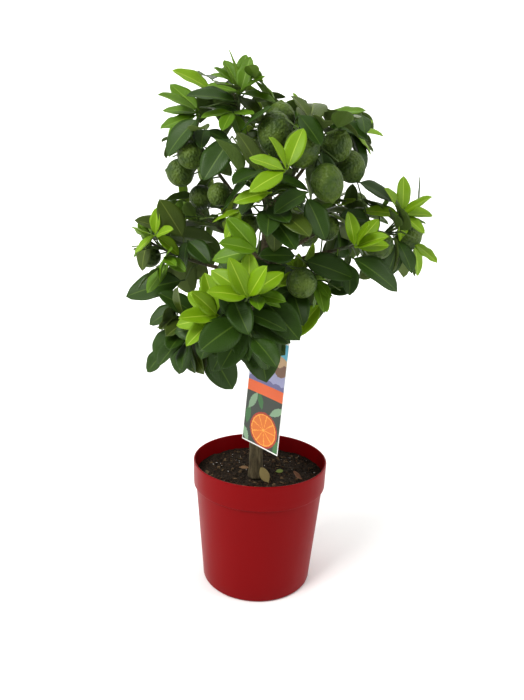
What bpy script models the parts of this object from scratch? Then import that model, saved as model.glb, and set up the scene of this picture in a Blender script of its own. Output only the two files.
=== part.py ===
"""Potted lemon tree in a moulded nursery pot: its solid parts at real size.

Metres, +Z up. The origin is the centre of the pot's flat underside, and the front
of the tree faces -Y. Lengths in the tables below are in millimetres.
"""
import math
import random

import bmesh
import bpy
from mathutils import Matrix, Vector
from mathutils.bvhtree import BVHTree

MM = 0.001
GAP = 0.3  # between neighbours that touch

# Pot: a tapered tub with a near-upright band round its mouth
POT_HEIGHT = 180.5
POT_MOUTH_RADIUS = 95.0
POT_BAND_HEIGHT = 36.0
POT_BAND_RADIUS = 94.2
POT_BODY_RADIUS = 91.0
POT_BASE_RADIUS = 78.3
POT_WALL = 2.2
POT_FLOOR = 2.6
POT_STEPS = 40
DRAIN_HOLES = 6
DRAIN_RADIUS = 5.0
DRAIN_RING = 56.0

# Soil
SOIL_LEVEL = 158.0
SOIL_CROWN = 1.6  # how far the soil's middle stands over its edge

# Trunk: axis offsets and radii at heights above the flat cut
TRUNK_FOOT = (-6.0, -18.0)
TRUNK_HEAD = (-2.0, -6.0)
TRUNK_TOP = 545.0
TRUNK_SWAY = 2.5
TRUNK_RADIUS = 9.6
TRUNK_HEAD_RADIUS = 4.6
FLARE_RADIUS = 2.2
FLARE_HEIGHT = 9.0
TRUNK_STATIONS = 13
TRUNK_RESOLUTION = 4  # a ring of 12 sides

# Boughs
BOUGH_RADIUS = 4.2
BOUGH_TIP_RADIUS = 2.5
BOUGH_SHARE = 0.58  # how far along the way to its mass a bough ends
BOUGH_STATIONS = 6
BOUGH_RESOLUTION = 1  # a ring of 6 sides

# Stems and twigs inside a mass
STEM_RADIUS = 2.3
STEM_TIP_RADIUS = 1.3
TWIG_RADIUS = 1.3
TWIG_TIP_RADIUS = 0.9
TWIG_STATIONS = 3
GOLDEN_TURN = math.radians(137.5)

# Leaves
LEAF_THICKNESS = 1.3
LEAF_FOLD = 0.22
MATURE_LENGTH = 64.0
YOUNG_LENGTH = 44.0
MATURE_WIDTH = 0.56  # of the length
YOUNG_WIDTH = 0.45
CELL_GAP = 0.5  # from a leaf to the border of its mass's space
LIMB_CLEARANCE = 1.2
TWIG_CLEARANCE = 0.4
LEAF_SWELL = 1.9  # times its thickness, where a leaf passes other masses

# The crown's outline as it shows from the front: its reach in 48 directions, from +X
# towards +Z, round a middle in an upright plane, seen from the viewer's place
VIEWER = (-3.2, -792.3, 524.5)
OUTLINE_MIDDLE = (-10.0, -40.0, 520.0)
OUTLINE_MARGIN = 3.0
OUTLINE = (
    211, 226, 200, 142, 161, 169, 173, 174, 163, 148, 139, 148, 152, 185, 190, 184,
    191, 184, 182, 154, 139, 127, 118, 118, 156, 157, 167, 168, 199, 195, 188, 248,
    232, 225, 220, 222, 207, 205, 190, 151, 149, 142, 133, 150, 149, 190, 223, 220,
)

# Hanging label
LABEL_WIDTH = 65.0
LABEL_HEIGHT = 152.0
LABEL_THICKNESS = 0.9
LABEL_FOOT = (-1.7, -54.0, 219.0)
LABEL_TURN = 44.0
LABEL_TILT = 5.0
LABEL_LOOP_HEIGHT = 354.0
STRAP_WIDTH = 9.0

# Each mass of foliage: its middle, the size of its space, the height at which its
# bough leaves the trunk, and the twigs that its rule adds to the sprays below
MASSES = {
    "top": ((-48, -25, 655), 62, 537, 5),
    "upper_left": ((-95, -45, 600), 58, 500, 5),
    "upper_front": ((42, -90, 598), 60, 515, 6),
    "upper_right": ((80, 15, 628), 62, 530, 5),
    "right": ((142, -50, 508), 72, 440, 4),
    "left": ((-132, -40, 478), 66, 425, 5),
    "front": ((-5, -105, 542), 62, 470, 6),
    "lower_right": ((52, -72, 448), 66, 405, 5),
    "lower_front": ((-30, -145, 420), 60, 392, 3),
    "lower_left": ((-92, -88, 392), 58, 380, 3),
    "back_left": ((-95, 75, 520), 74, 455, 4),
    "back_right": ((95, 88, 520), 76, 448, 4),
    "back_top": ((5, 70, 622), 70, 520, 5),
    "back_low": ((-5, 70, 428), 70, 398, 3),
}

# Sprays that show at the front: mass, foot, first and last angle of the fan (degrees
# from +X towards +Z), leaves, leaf length, lean towards the front (degrees), young
SPRAYS = [
    ("top", (-45, -20, 677), 72, 160, 5, 38, 10, True),
    ("top", (-40, -45, 660), -8, 165, 5, 42, 20, True),
    ("top", (-76, -25, 665), 147, 147, 1, 48, 5, True),
    ("top", (-42, -60, 648), 174, 174, 1, 60, 10, False),
    ("upper_front", (-38, -75, 613), 45, 45, 1, 50, 20, False),
    ("top", (-49, -60, 637), 190, 350, 4, 38, 30, True),
    ("upper_left", (-88, -50, 639), 140, 205, 5, 48, 10, True),
    ("upper_left", (-85, -75, 627), 225, 225, 1, 54, 10, False),
    ("upper_left", (-80, -60, 618), 188, 350, 3, 36, 25, False),
    ("front", (-46, -95, 606), 238, 238, 1, 56, 25, False),
    ("upper_right", (33, -10, 646), 22, 107, 2, 30, 10, True),
    ("upper_right", (68, 10, 651), 6, 6, 1, 50, 5, True),
    ("upper_right", (98, 0, 630), -38, 20, 3, 42, 5, True),
    ("upper_right", (71, -30, 634), -22, -22, 1, 48, 20, False),
    ("upper_front", (25, -125, 628), -46, -46, 1, 42, 20, False),
    ("front", (16, -160, 568), 74, 203, 4, 44, 15, True),
    ("front", (1, -150, 545), 189, 189, 1, 42, 5, True),
    ("front", (40, -140, 547), 204, 204, 1, 44, 25, False),
    ("front", (38, -130, 543), -54, -54, 1, 50, 15, False),
    ("right", (160, -60, 531), -81, 173, 7, 42, 10, True),
    ("right", (104, -50, 565), -18, -18, 1, 48, 5, False),
    ("right", (122, -55, 520), 173, 173, 1, 40, 20, False),
    ("right", (98, -110, 489), 6, 102, 5, 42, 20, True),
    ("right", (182, -40, 494), -69, -38, 2, 44, 10, True),
    ("right", (161, -45, 497), -99, -61, 2, 50, 15, False),
    ("right", (95, -100, 478), -28, -28, 1, 64, 10, False),
    ("lower_right", (97, -80, 470), -82, -82, 1, 40, 10, False),
    ("left", (-137, -70, 493), -36, 212, 5, 36, 20, True),
    ("left", (-104, -60, 490), 121, 121, 1, 50, 20, False),
    ("left", (-121, -60, 460), 234, 234, 1, 44, 15, True),
    ("left", (-106, -30, 435), 193, 193, 1, 80, 5, False),
    ("left", (-149, -40, 491), 244, 244, 1, 44, 10, False),
    ("left", (-99, -60, 488), 250, 330, 2, 44, 15, False),
    ("front", (-12, -160, 482), 132, 195, 3, 48, 15, True),
    ("lower_front", (-19, -180, 438), 38, 165, 6, 48, 5, True),
    ("lower_front", (-54, -165, 413), 101, 220, 6, 46, 10, True),
    ("lower_front", (-38, -160, 435), 236, 301, 2, 46, 25, False),
    ("lower_front", (-38, -150, 403), 176, 176, 1, 64, 15, False),
    ("lower_front", (-23, -135, 421), -67, -67, 1, 92, 20, False),
    ("lower_left", (-94, -110, 387), 257, 257, 1, 56, 10, False),
    ("lower_front", (-37, -110, 389), 245, 245, 1, 60, 10, False),
    ("lower_left", (-73, -90, 368), -59, -59, 1, 66, 10, False),
    ("lower_left", (-121, -80, 357), 232, 232, 1, 42, 0, False),
    ("lower_left", (-104, -90, 412), 211, 211, 1, 46, 15, False),
    ("lower_right", (44, -80, 430), 233, 233, 1, 50, 15, False),
    ("lower_right", (27, -95, 436), 202, 202, 1, 46, 20, False),
    ("lower_right", (68, -70, 418), 225, 225, 1, 52, 15, True),
    ("lower_right", (61, -80, 441), -65, -65, 1, 36, 25, True),
    ("lower_right", (40, -100, 472), -21, -21, 1, 60, 20, False),
    ("lower_right", (33, -110, 477), 172, 172, 1, 46, 20, False),
    ("lower_right", (22, -110, 466), 215, 215, 1, 48, 20, False),
]

# Fruit that shows at the front: mass, middle, width, length, the way its nipple points
FRUIT = [
    ("upper_front", (2, -80, 612), 40, 54, (0.0, -0.3, -1.0)),
    ("upper_front", (32, -115, 593), 39, 45, (0.1, -0.5, -0.9)),
    ("upper_front", (73, -85, 601), 35, 39, (0.4, -0.5, 0.8)),
    ("upper_front", (94, -55, 581), 35, 42, (0.5, -0.2, -0.8)),
    ("upper_front", (61, -122, 558), 36, 46, (0.3, -0.3, -0.9)),
    ("upper_front", (8, -45, 634), 36, 40, (0.0, -0.3, 1.0)),
    ("upper_left", (-95, -70, 586), 32, 35, (-0.6, -0.75, -0.2)),
    ("upper_left", (-112, -38, 568), 34, 36, (-1.0, -0.3, 0.1)),
    ("upper_left", (-88, -20, 540), 30, 32, (-0.3, -0.2, -0.9)),
    ("front", (-62, -62, 543), 28, 30, (-0.2, -0.6, -0.8)),
    ("front", (-26, -60, 508), 26, 29, (-0.2, -0.6, -0.8)),
    ("lower_right", (69, -68, 509), 31, 34, (0.2, -0.6, -0.8)),
    ("lower_right", (40, -108, 446), 36, 38, (0.15, -0.85, -0.45)),
    ("right", (132, -72, 491), 35, 38, (0.8, -0.6, 0.0)),
    ("right", (176, -32, 500), 33, 36, (0.85, -0.3, 0.3)),
    ("right", (113, -22, 521), 28, 30, (0.3, -0.4, -0.8)),
    ("left", (-155, -12, 462), 28, 31, (-0.6, -0.3, -0.7)),
]
SPRAY_TRIES = (  # how far a leaf may turn and lift from its place in the table
    (0, 0), (8, -4), (-8, 4), (0, 16), (0, -16), (14, 10),
    (-14, -10), (8, 26), (-8, -26), (20, 0), (-20, 0), (4, 40),
)
BACK_FRUIT_WIDTH = 34.0
BACK_FRUIT = {"back_left": 3, "back_right": 3, "back_top": 2, "back_low": 1}


def metres(values):
    return Vector(values) * MM


def collection(name):
    group = bpy.data.collections.new(name)
    bpy.context.scene.collection.children.link(group)
    return group


def material(name, colour, roughness, metallic=0.0):
    finish = bpy.data.materials.new(name)
    finish.use_nodes = True
    shader = finish.node_tree.nodes["Principled BSDF"]
    shader.inputs["Base Color"].default_value = (*colour, 1.0)
    shader.inputs["Roughness"].default_value = roughness
    shader.inputs["Metallic"].default_value = metallic
    return finish


def mesh_from(bm, name):
    bmesh.ops.recalc_face_normals(bm, faces=bm.faces)
    mesh = bpy.data.meshes.new(name)
    bm.to_mesh(mesh)
    bm.free()
    return mesh


def place(mesh, group, finish=None):
    thing = bpy.data.objects.new(mesh.name, mesh)
    if finish:
        mesh.materials.clear()
        mesh.materials.append(finish)
    group.objects.link(thing)
    return thing


# Paths and limbs

def bend(start, aim, end, count):
    """Points on an even curve from start, that sets off along aim and arrives at end."""
    pull = start + aim.normalized() * (end - start).length * 0.45
    points = []
    for i in range(count):
        t = i / (count - 1)
        points.append(start.lerp(pull, t).lerp(pull.lerp(end, t), t))
    return points


def taper(first, last, count):
    return [(first + (last - first) * i / (count - 1)) * MM for i in range(count)]


def trunk_axis(height):
    """The middle of the trunk at a height in millimetres. Its foot stands upright."""
    t = max(0.0, height - SOIL_LEVEL - FLARE_HEIGHT) / (TRUNK_TOP - SOIL_LEVEL - FLARE_HEIGHT)
    x = TRUNK_FOOT[0] + (TRUNK_HEAD[0] - TRUNK_FOOT[0]) * t - TRUNK_SWAY * math.sin(math.pi * t)
    y = TRUNK_FOOT[1] + (TRUNK_HEAD[1] - TRUNK_FOOT[1]) * t
    return metres((x, y, height))


def trunk_radius(height):
    above = height - SOIL_LEVEL
    t = above / (TRUNK_TOP - SOIL_LEVEL)
    slim = TRUNK_RADIUS + (TRUNK_HEAD_RADIUS - TRUNK_RADIUS) * t ** 1.6
    return (slim + FLARE_RADIUS * math.exp(-above / FLARE_HEIGHT)) * MM


def trunk_path():
    """The trunk's axis and radii, with its stations closest at the root flare."""
    foot = SOIL_LEVEL + SOIL_CROWN + GAP
    heights = []
    for i in range(TRUNK_STATIONS):
        t = i / (TRUNK_STATIONS - 1)
        heights.append(foot + (TRUNK_TOP - foot) * t ** 1.7)
    return [trunk_axis(h) for h in heights], [trunk_radius(h) for h in heights]


def bough_path(name):
    """One tapering limb from the trunk to where its mass of foliage begins."""
    middle, _, height, _ = MASSES[name]
    middle = metres(middle)
    root = trunk_axis(height)
    way = middle - root
    flat = Vector((way.x, way.y, 0))
    aim = flat.normalized() * min(1.0, flat.length / way.z if way.z > 0 else 1.0) + Vector((0, 0, 0.75))
    tip = root.lerp(middle, BOUGH_SHARE)
    return bend(root, aim, tip, BOUGH_STATIONS), taper(BOUGH_RADIUS, BOUGH_TIP_RADIUS, BOUGH_STATIONS)


def ring_frame(direction, side):
    side = (side - direction * side.dot(direction)).normalized()
    return side, direction.cross(side)


def swept(path, radii, sides):
    """A closed limb: a ring of corners drawn out along the path."""
    bm = bmesh.new()
    ring = bmesh.ops.create_circle(bm, cap_ends=True, segments=sides, radius=1.0)["verts"]
    corners = [v.co.copy() for v in ring]
    side = (path[1] - path[0]).orthogonal().normalized()
    cap = bm.faces[:]
    for i, point in enumerate(path):
        direction = (path[min(i + 1, len(path) - 1)] - path[max(i - 1, 0)]).normalized()
        side, across = ring_frame(direction, side)
        if i:
            drawn = bmesh.ops.extrude_face_region(bm, geom=cap)["geom"]
            if i > 1:
                bmesh.ops.delete(bm, geom=cap, context="FACES_ONLY")
            cap = [g for g in drawn if isinstance(g, bmesh.types.BMFace)]
            ring = ring_after(ring, drawn)
        for v, corner in zip(ring, corners):
            v.co = point + (side * corner.x + across * corner.y) * radii[i]
    bmesh.ops.recalc_face_normals(bm, faces=bm.faces)
    return bm


def ring_after(ring, drawn):
    """The new corners, in the order of the ones that they were drawn from."""
    new = {g for g in drawn if isinstance(g, bmesh.types.BMVert)}
    order = []
    for v in ring:
        order.append(next(e.other_vert(v) for e in v.link_edges if e.other_vert(v) in new))
    return order


def tube(name, path, radii, resolution, group, finish):
    """A round limb as a bevelled curve, made a mesh so that it can be cut."""
    data = bpy.data.curves.new(name, "CURVE")
    data.dimensions = "3D"
    data.bevel_depth = MM
    data.bevel_resolution = resolution
    data.use_fill_caps = True
    spline = data.splines.new("POLY")
    spline.points.add(len(path) - 1)
    for point, co, radius in zip(spline.points, path, radii):
        point.co = (*co, 1.0)
        point.radius = radius / MM
    curve = bpy.data.objects.new(name, data)
    group.objects.link(curve)
    depsgraph = bpy.context.evaluated_depsgraph_get()
    mesh = bpy.data.meshes.new_from_object(curve.evaluated_get(depsgraph))
    mesh.transform(curve.matrix_world)
    bpy.data.objects.remove(curve)
    bm = bmesh.new()
    bm.from_mesh(mesh)
    bmesh.ops.remove_doubles(bm, verts=bm.verts, dist=1e-6)
    bmesh.ops.recalc_face_normals(bm, faces=bm.faces)
    bm.to_mesh(mesh)
    bm.free()
    mesh.name = name
    mesh.shade_smooth()
    mesh.set_sharp_from_angle(angle=math.radians(50))
    return place(mesh, group, finish)


# Leaves and fruit: each is a dictionary of its place, its axes and its size

def leaf(foot, direction, face, length, width, droop):
    direction = direction.normalized()
    side = face.cross(direction).normalized()
    return {
        "foot": foot,
        "along": direction,
        "side": side,
        "up": direction.cross(side),
        "length": length * MM,
        "width": width * length * MM,
        "droop": droop,
    }


def leaf_point(blade, along, across, above):
    """A point of a leaf: along its midrib, across it from -1 to 1, and above its middle."""
    length = blade["length"]
    rise = LEAF_FOLD * abs(across) * blade["width"] / 2 - blade["droop"] * length * along * along
    return (
        blade["foot"]
        + blade["along"] * (length * along)
        + blade["side"] * (blade["width"] / 2 * across)
        + blade["up"] * (rise + above)
    )


def leaf_solid(blade, start=0.0, swell=1.0):
    """A flattened six-sided ball, folded along the midrib and drooping to the tip."""
    bm = bmesh.new()
    bmesh.ops.create_uvsphere(bm, u_segments=6, v_segments=2, radius=1.0)
    for v in bm.verts:
        along = start + (1.0 - start) * (1.0 + v.co.y) / 2.0
        v.co = leaf_point(blade, along, v.co.x, v.co.z * LEAF_THICKNESS * swell / 2 * MM)
    bmesh.ops.recalc_face_normals(bm, faces=bm.faces)
    return bm


def fruit_axes(fruit):
    aim = fruit["aim"]
    side, across = ring_frame(aim, aim.orthogonal())
    return side, across, aim


def fruit_solid(fruit):
    """A ball drawn out to the fruit's length, with a nipple at its free end."""
    bm = bmesh.new()
    bmesh.ops.create_uvsphere(bm, u_segments=8, v_segments=4, radius=1.0)
    side, across, aim = fruit_axes(fruit)
    for v in bm.verts:
        reach = v.co.z * fruit["length"] / 2
        wide = fruit["width"] / 2
        v.co = fruit["middle"] + side * (v.co.x * wide) + across * (v.co.y * wide) + aim * reach
    bmesh.ops.recalc_face_normals(bm, faces=bm.faces)
    return bm


# Growth: the seeded rule that fills each mass

def inside(name, point):
    """Whether a point lies in a mass's own space, which flat borders part from the others."""
    middle, size, _, _ = MASSES[name]
    middle = metres(middle)
    own = (point - middle).length_squared - (size * MM) ** 2
    for other, (there, reach, _, _) in MASSES.items():
        if other == name:
            continue
        there = metres(there)
        theirs = (point - there).length_squared - (reach * MM) ** 2
        if (theirs - own) / (2 * (there - middle).length) < CELL_GAP * MM:
            return False
    return True


def obstacles():
    """What no leaf or twig may touch: every limb and the label, a little swollen."""
    trees = []
    for path, radii in [trunk_path()] + [bough_path(name) for name in MASSES]:
        swollen = [r + LIMB_CLEARANCE * MM for r in radii]
        trees.append(BVHTree.FromBMesh(swept(path, swollen, 8)))
    trees.append(BVHTree.FromBMesh(label_block()))
    return trees


def label_block():
    """A box round the label's card, for the leaves to keep out of."""
    bm = bmesh.new()
    bmesh.ops.create_cube(bm, size=1.0)
    for v in bm.verts:
        v.co = label_point(v.co.x * 1.04, v.co.z + 0.5, v.co.y * 3.0 * MM)
    return bm


def label_axes():
    turn = math.radians(LABEL_TURN)
    tilt = math.radians(LABEL_TILT)
    level = Vector((math.cos(turn), -math.sin(turn), 0))
    up = Vector((0, 0, 1))
    wide = level * math.cos(tilt) - up * math.sin(tilt)
    tall = up * math.cos(tilt) + level * math.sin(tilt)
    return wide, tall, tall.cross(wide)


def label_point(across, up, out):
    """A point of the label: across from -0.5 to 0.5, up from 0 to 1, out of its back."""
    wide, tall, back = label_axes()
    foot = metres(LABEL_FOOT)
    return foot + wide * (across * LABEL_WIDTH * MM) + tall * (up * LABEL_HEIGHT * MM) + back * out


def free(shape, trees):
    tree = BVHTree.FromBMesh(shape)
    shape.free()
    return not any(tree.overlap(other) for other in trees)


def in_outline(point):
    """Whether a point shows inside the crown's outline from the viewer's place."""
    viewer, middle = metres(VIEWER), metres(OUTLINE_MIDDLE)
    shown = viewer + (point - viewer) * ((middle.y - viewer.y) / (point.y - viewer.y))
    away = shown - middle
    turn = math.atan2(away.z, away.x) / (2 * math.pi) % 1.0 * len(OUTLINE)
    first = int(turn)
    share = turn - first
    reach = OUTLINE[first % len(OUTLINE)] * (1 - share) + OUTLINE[(first + 1) % len(OUTLINE)] * share
    return away.length < (reach + OUTLINE_MARGIN) * MM


def hides_fruit(point):
    """Whether a point stands before one of the fruit that show at the front."""
    viewer = metres(VIEWER)
    way = (point - viewer).normalized()
    for _, middle, width, _, _ in FRUIT:
        to_fruit = metres(middle) - viewer
        near = (point - viewer).length < to_fruit.length
        if near and (to_fruit - way * to_fruit.dot(way)).length < 0.48 * width * MM:
            return True
    return False


def fan_direction(angle, lean):
    """A way in the plane that faces the front, turned towards the front by lean."""
    a, b = math.radians(angle), math.radians(lean)
    return Vector((math.cos(a) * math.cos(b), -math.sin(b), math.sin(a) * math.cos(b)))


class Mass:
    """One mass of foliage: the stem that its bough feeds, with twigs, leaves and fruit."""

    def __init__(self, name, hard):
        number = list(MASSES).index(name)
        self.name = name
        self.middle = metres(MASSES[name][0])
        self.size = MASSES[name][1] * MM
        self.rng = random.Random(1 + number)
        self.hard = hard
        self.walls = [tree for i, tree in enumerate(hard) if i != 1 + number]  # all but its own bough
        self.others = []
        self.soft = []
        self.twigs = []
        self.leaves = []
        self.fruit = []
        self.skipped = []
        path, radii = bough_path(name)
        way = (path[-1] - path[-2]).normalized()
        start = path[-1] + way * GAP * MM
        end = self.middle + way * self.size * 0.25
        self.stem = bend(start, way, end, 5)
        self.stem_radii = taper(min(STEM_RADIUS, radii[-1] / MM), STEM_TIP_RADIUS, 5)
        self.wood = BVHTree.FromBMesh(swept(self.stem, [r + TWIG_CLEARANCE * MM for r in self.stem_radii], 6))

    def taken(self):
        """What the other masses have grown so far."""
        return [tree for mass in self.others for tree in [mass.wood] + mass.soft]

    def on_stem(self, t):
        step = min(int(t * 4), 3)
        return self.stem[step].lerp(self.stem[step + 1], t * 4 - step)

    def nearest_on_stem(self, point, play):
        """The place on the stem from which a twig reaches a point at an easy angle."""
        best = min(range(21), key=lambda i: (self.on_stem(i / 20) - point).length)
        share = best / 20 - 0.2 + self.rng.uniform(-play, play)
        return self.on_stem(min(0.93 + 0.04 * self.rng.random(), max(0.08 + 0.08 * self.rng.random(), share)))

    def twig_to(self, tip, play=0.04):
        root = self.nearest_on_stem(tip, play)
        away = (tip - root).normalized()
        aim = away + (self.stem[-1] - self.stem[0]).normalized() * 0.6 + Vector((0, 0, 0.25))
        aim += self.any_way() * (play - 0.04) * 3
        return bend(root, aim, tip, TWIG_STATIONS)

    def any_way(self):
        return Vector([self.rng.uniform(-1, 1) for _ in range(3)])

    def clear_twig(self, tip):
        """A twig that runs clear of the limbs and the other masses, or nothing."""
        taken = self.taken()
        for attempt in range(14):
            path = self.twig_to(tip, 0.04 + 0.025 * attempt)
            radii = taper(TWIG_RADIUS + TWIG_CLEARANCE, TWIG_TIP_RADIUS + TWIG_CLEARANCE, len(path))
            if free(swept(path, radii, 5), self.walls + taken):
                return path
        return None

    def add_twig(self, path, radius=TWIG_RADIUS, tip_radius=TWIG_TIP_RADIUS):
        radii = taper(radius, tip_radius, len(path))
        self.twigs.append((path, radii))
        self.soft.append(BVHTree.FromBMesh(swept(path, radii, 3)))

    def leaf_fits(self, blade, shown):
        """Whether a leaf touches nothing and, unless the front shows it, keeps to its space."""
        for along, across in ((0.25, 0.87), (0.25, -0.87), (0.75, 0.87), (0.75, -0.87), (1.0, 0.0)):
            point = leaf_point(blade, along, across, 0.0)
            if not shown and not (inside(self.name, point) and in_outline(point)):
                return False
        for along, across in ((0.3, 0.0), (0.5, 0.8), (0.5, -0.8), (0.55, 0.0), (0.8, 0.0), (1.0, 0.0)):
            if not shown and hides_fruit(leaf_point(blade, along, across, 0.0)):
                return False
        if not free(leaf_solid(blade, start=0.14), self.hard + self.soft):
            return False
        return free(leaf_solid(blade, swell=LEAF_SWELL), self.taken())

    def add_leaf(self, tries, shown=False):
        """The first of the tried leaves that fits."""
        for blade in tries:
            if self.leaf_fits(blade, shown):
                self.leaves.append(blade)
                self.soft.append(BVHTree.FromBMesh(leaf_solid(blade, start=0.14)))
                return
        if shown:
            self.skipped.append(tries[0])

    def face(self, direction, point):
        """The way a leaf's upper side looks: up and out of the crown, with some play."""
        out = point - metres((0, 0, 480))
        face = Vector((0, 0, 0.9)) + out.normalized() * 0.8 + self.any_way() * 0.45
        return face - direction * face.dot(direction)

    def hang_fruit(self, middle, width, length, aim, shown=True):
        aim = Vector(aim).normalized()
        fruit = {"middle": middle, "aim": aim, "width": width * MM, "length": length * MM}
        path = self.clear_twig(middle - aim * (length * MM * 0.42))
        if path is None or not (shown or free(fruit_solid(fruit), self.hard + self.soft + self.taken())):
            self.skipped.append(fruit)
            return
        self.fruit.append(fruit)
        self.soft.append(BVHTree.FromBMesh(fruit_solid(fruit)))
        self.add_twig(path)

    def hang_back_fruit(self, number):
        """A fruit on the side that the front view does not show."""
        turn = math.radians(35 + 70 * number)
        way = Vector((math.cos(turn), math.sin(turn), 0.5 - 0.6 * number))
        middle = self.middle + way.normalized() * self.size * 0.6
        width = BACK_FRUIT_WIDTH * self.rng.uniform(0.9, 1.1)
        self.hang_fruit(middle, width, width * 1.12, (way.x * 0.4, way.y * 0.4, -1.0), shown=False)

    def spray(self, foot, first, last, count, length, lean, young):
        """A fan of leaves at a twig's end, as it shows from the front."""
        foot = metres(foot)
        path = self.clear_twig(foot)
        if path is None:
            self.skipped.append(foot)
            return
        self.add_twig(path)
        back = (path[-2] - path[-1]).normalized()
        for i in range(count):
            share = i / (count - 1) if count > 1 else 0.5
            spread = 22.0 if count > 1 else 0.0
            angle = first + (last - first) * share + self.rng.uniform(-4, 4)
            tilt = lean + spread * (1 if i % 2 else -1) + self.rng.uniform(-6, 6)
            base = foot + back * (MM * (0.4 + 1.7 * (i % 4)))
            size = length * self.rng.uniform(0.92, 1.08)
            width = YOUNG_WIDTH if young else MATURE_WIDTH
            droop = self.rng.uniform(0.05, 0.18) if young else self.rng.uniform(0.10, 0.26)
            tries = []
            for shift, lift in SPRAY_TRIES:
                direction = fan_direction(angle + shift, tilt + lift)
                face = Vector((0, -0.75, 0.55)) + self.face(direction, base) * 0.35
                tries.append(leaf(base, direction, face, size, width, droop))
            self.add_leaf(tries, shown=True)

    def fill(self, number, total, low=0.55, high=0.85):
        """One twig of the mass's own rule, its leaves set round it by the golden turn."""
        rng = self.rng
        height = 1 - 2 * (number + 0.5) / total
        turn = number * GOLDEN_TURN + rng.uniform(0, 0.8)
        flat = math.sqrt(1 - height * height)
        out = (self.middle - metres((0, 0, 500))).normalized()
        way = (Vector((flat * math.cos(turn), flat * math.sin(turn), height * 0.8)) + out * 0.45).normalized()
        young = rng.random() < 0.28 and way.z > -0.2
        reach = self.size * rng.uniform(low, high)
        taken = self.taken()
        for attempt in range(8):
            tip = self.middle + way * reach
            path = self.twig_to(tip)
            radii = taper(TWIG_RADIUS + TWIG_CLEARANCE, TWIG_TIP_RADIUS + TWIG_CLEARANCE, len(path))
            if (
                inside(self.name, tip)
                and in_outline(tip)
                and free(swept(path[1:], radii[1:], 3), self.hard + self.soft)
                and free(swept(path, radii, 3), self.walls + taken)
            ):
                self.add_twig(path)
                self.dress(path, 5 if young else rng.choice((4, 5)), young)
                return
            way = (way + self.any_way() * 0.5).normalized()
            reach *= 0.93

    def dress(self, path, count, young):
        """Leaves along a twig, closer and more upright towards its tip."""
        rng = self.rng
        turn = rng.uniform(0, 2 * math.pi)
        first = 0.80 if young else 0.45
        for i in range(count):
            share = i / (count - 1)
            place_at = (first + (0.99 - first) * share) * (len(path) - 1)
            step = min(int(place_at), len(path) - 2)
            foot = path[step].lerp(path[step + 1], place_at - step)
            axis = (path[step + 1] - path[step]).normalized()
            opening = math.radians(72 - 34 * share + rng.uniform(-8, 8))
            length = (YOUNG_LENGTH if young else MATURE_LENGTH) * rng.uniform(0.72, 1.08) * (1 - 0.22 * share)
            width = (YOUNG_WIDTH if young else MATURE_WIDTH) * rng.uniform(0.9, 1.08)
            droop = rng.uniform(0.05, 0.2) if young else rng.uniform(0.1, 0.3)
            tries = []
            for swing in (0, 35, -35, 70, -70, 110):
                around = Matrix.Rotation(turn + i * GOLDEN_TURN + math.radians(swing), 3, axis)
                radial = around @ axis.orthogonal().normalized()
                direction = axis * math.cos(opening) + radial * math.sin(opening)
                direction.z -= 0.12 if young else 0.40
                direction.normalize()
                tries.append(leaf(foot, direction, self.face(direction, foot), length, width, droop))
            self.add_leaf(tries)


def grow_all(hard):
    """All masses: first the fruit and the sprays that the front shows, then the rest."""
    masses = [Mass(name, hard) for name in MASSES]
    for mass in masses:
        mass.others = [other for other in masses if other is not mass]
        for owner, middle, width, length, aim in FRUIT:
            if owner == mass.name:
                mass.hang_fruit(metres(middle), width, length, aim)
    for mass in masses:
        for owner, *row in SPRAYS:
            if owner == mass.name:
                mass.spray(*row)
    for mass in masses:
        for number in range(BACK_FRUIT.get(mass.name, 0)):
            mass.hang_back_fruit(number)
        total = MASSES[mass.name][3]
        for number in range(total):
            mass.fill(number, total)
    return masses


# Solids

def fused(name, mass, group, finish):
    """The whole mass as one solid: a Boolean union of its stem with everything on it."""
    pieces = collection("pieces of " + name)
    for path, radii in mass.twigs:
        place(mesh_from(swept(path, radii, 3), "twig"), pieces)
    for blade in mass.leaves:
        place(mesh_from(leaf_solid(blade), "leaf"), pieces)
    for fruit in mass.fruit:
        place(mesh_from(fruit_solid(fruit), "fruit"), pieces)
    stem = place(mesh_from(swept(mass.stem, mass.stem_radii, 5), name), group, finish)
    union = stem.modifiers.new("union", "BOOLEAN")
    union.operation = "UNION"
    union.operand_type = "COLLECTION"
    union.collection = pieces
    union.solver = "MANIFOLD"
    depsgraph = bpy.context.evaluated_depsgraph_get()
    whole = bpy.data.meshes.new_from_object(stem.evaluated_get(depsgraph))
    stem.modifiers.clear()
    for piece in list(pieces.objects):
        bpy.data.objects.remove(piece)
    bpy.data.collections.remove(pieces)
    keep_largest_shell(whole)
    whole.name = name
    whole.materials.clear()
    whole.materials.append(finish)
    stem.data = whole
    return stem


def keep_largest_shell(mesh):
    """Drops loose scraps, and the inner shells of hollows that the union sealed."""
    bm = bmesh.new()
    bm.from_mesh(mesh)
    left = set(bm.verts)
    shells = []
    while left:
        front = [left.pop()]
        shell = set(front)
        while front:
            for edge in front.pop().link_edges:
                for v in edge.verts:
                    if v in left:
                        left.discard(v)
                        shell.add(v)
                        front.append(v)
        shells.append(shell)
    shells.sort(key=len)
    for shell in shells[:-1]:
        bmesh.ops.delete(bm, geom=list(shell), context="VERTS")
    bm.to_mesh(mesh)
    bm.free()


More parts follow.
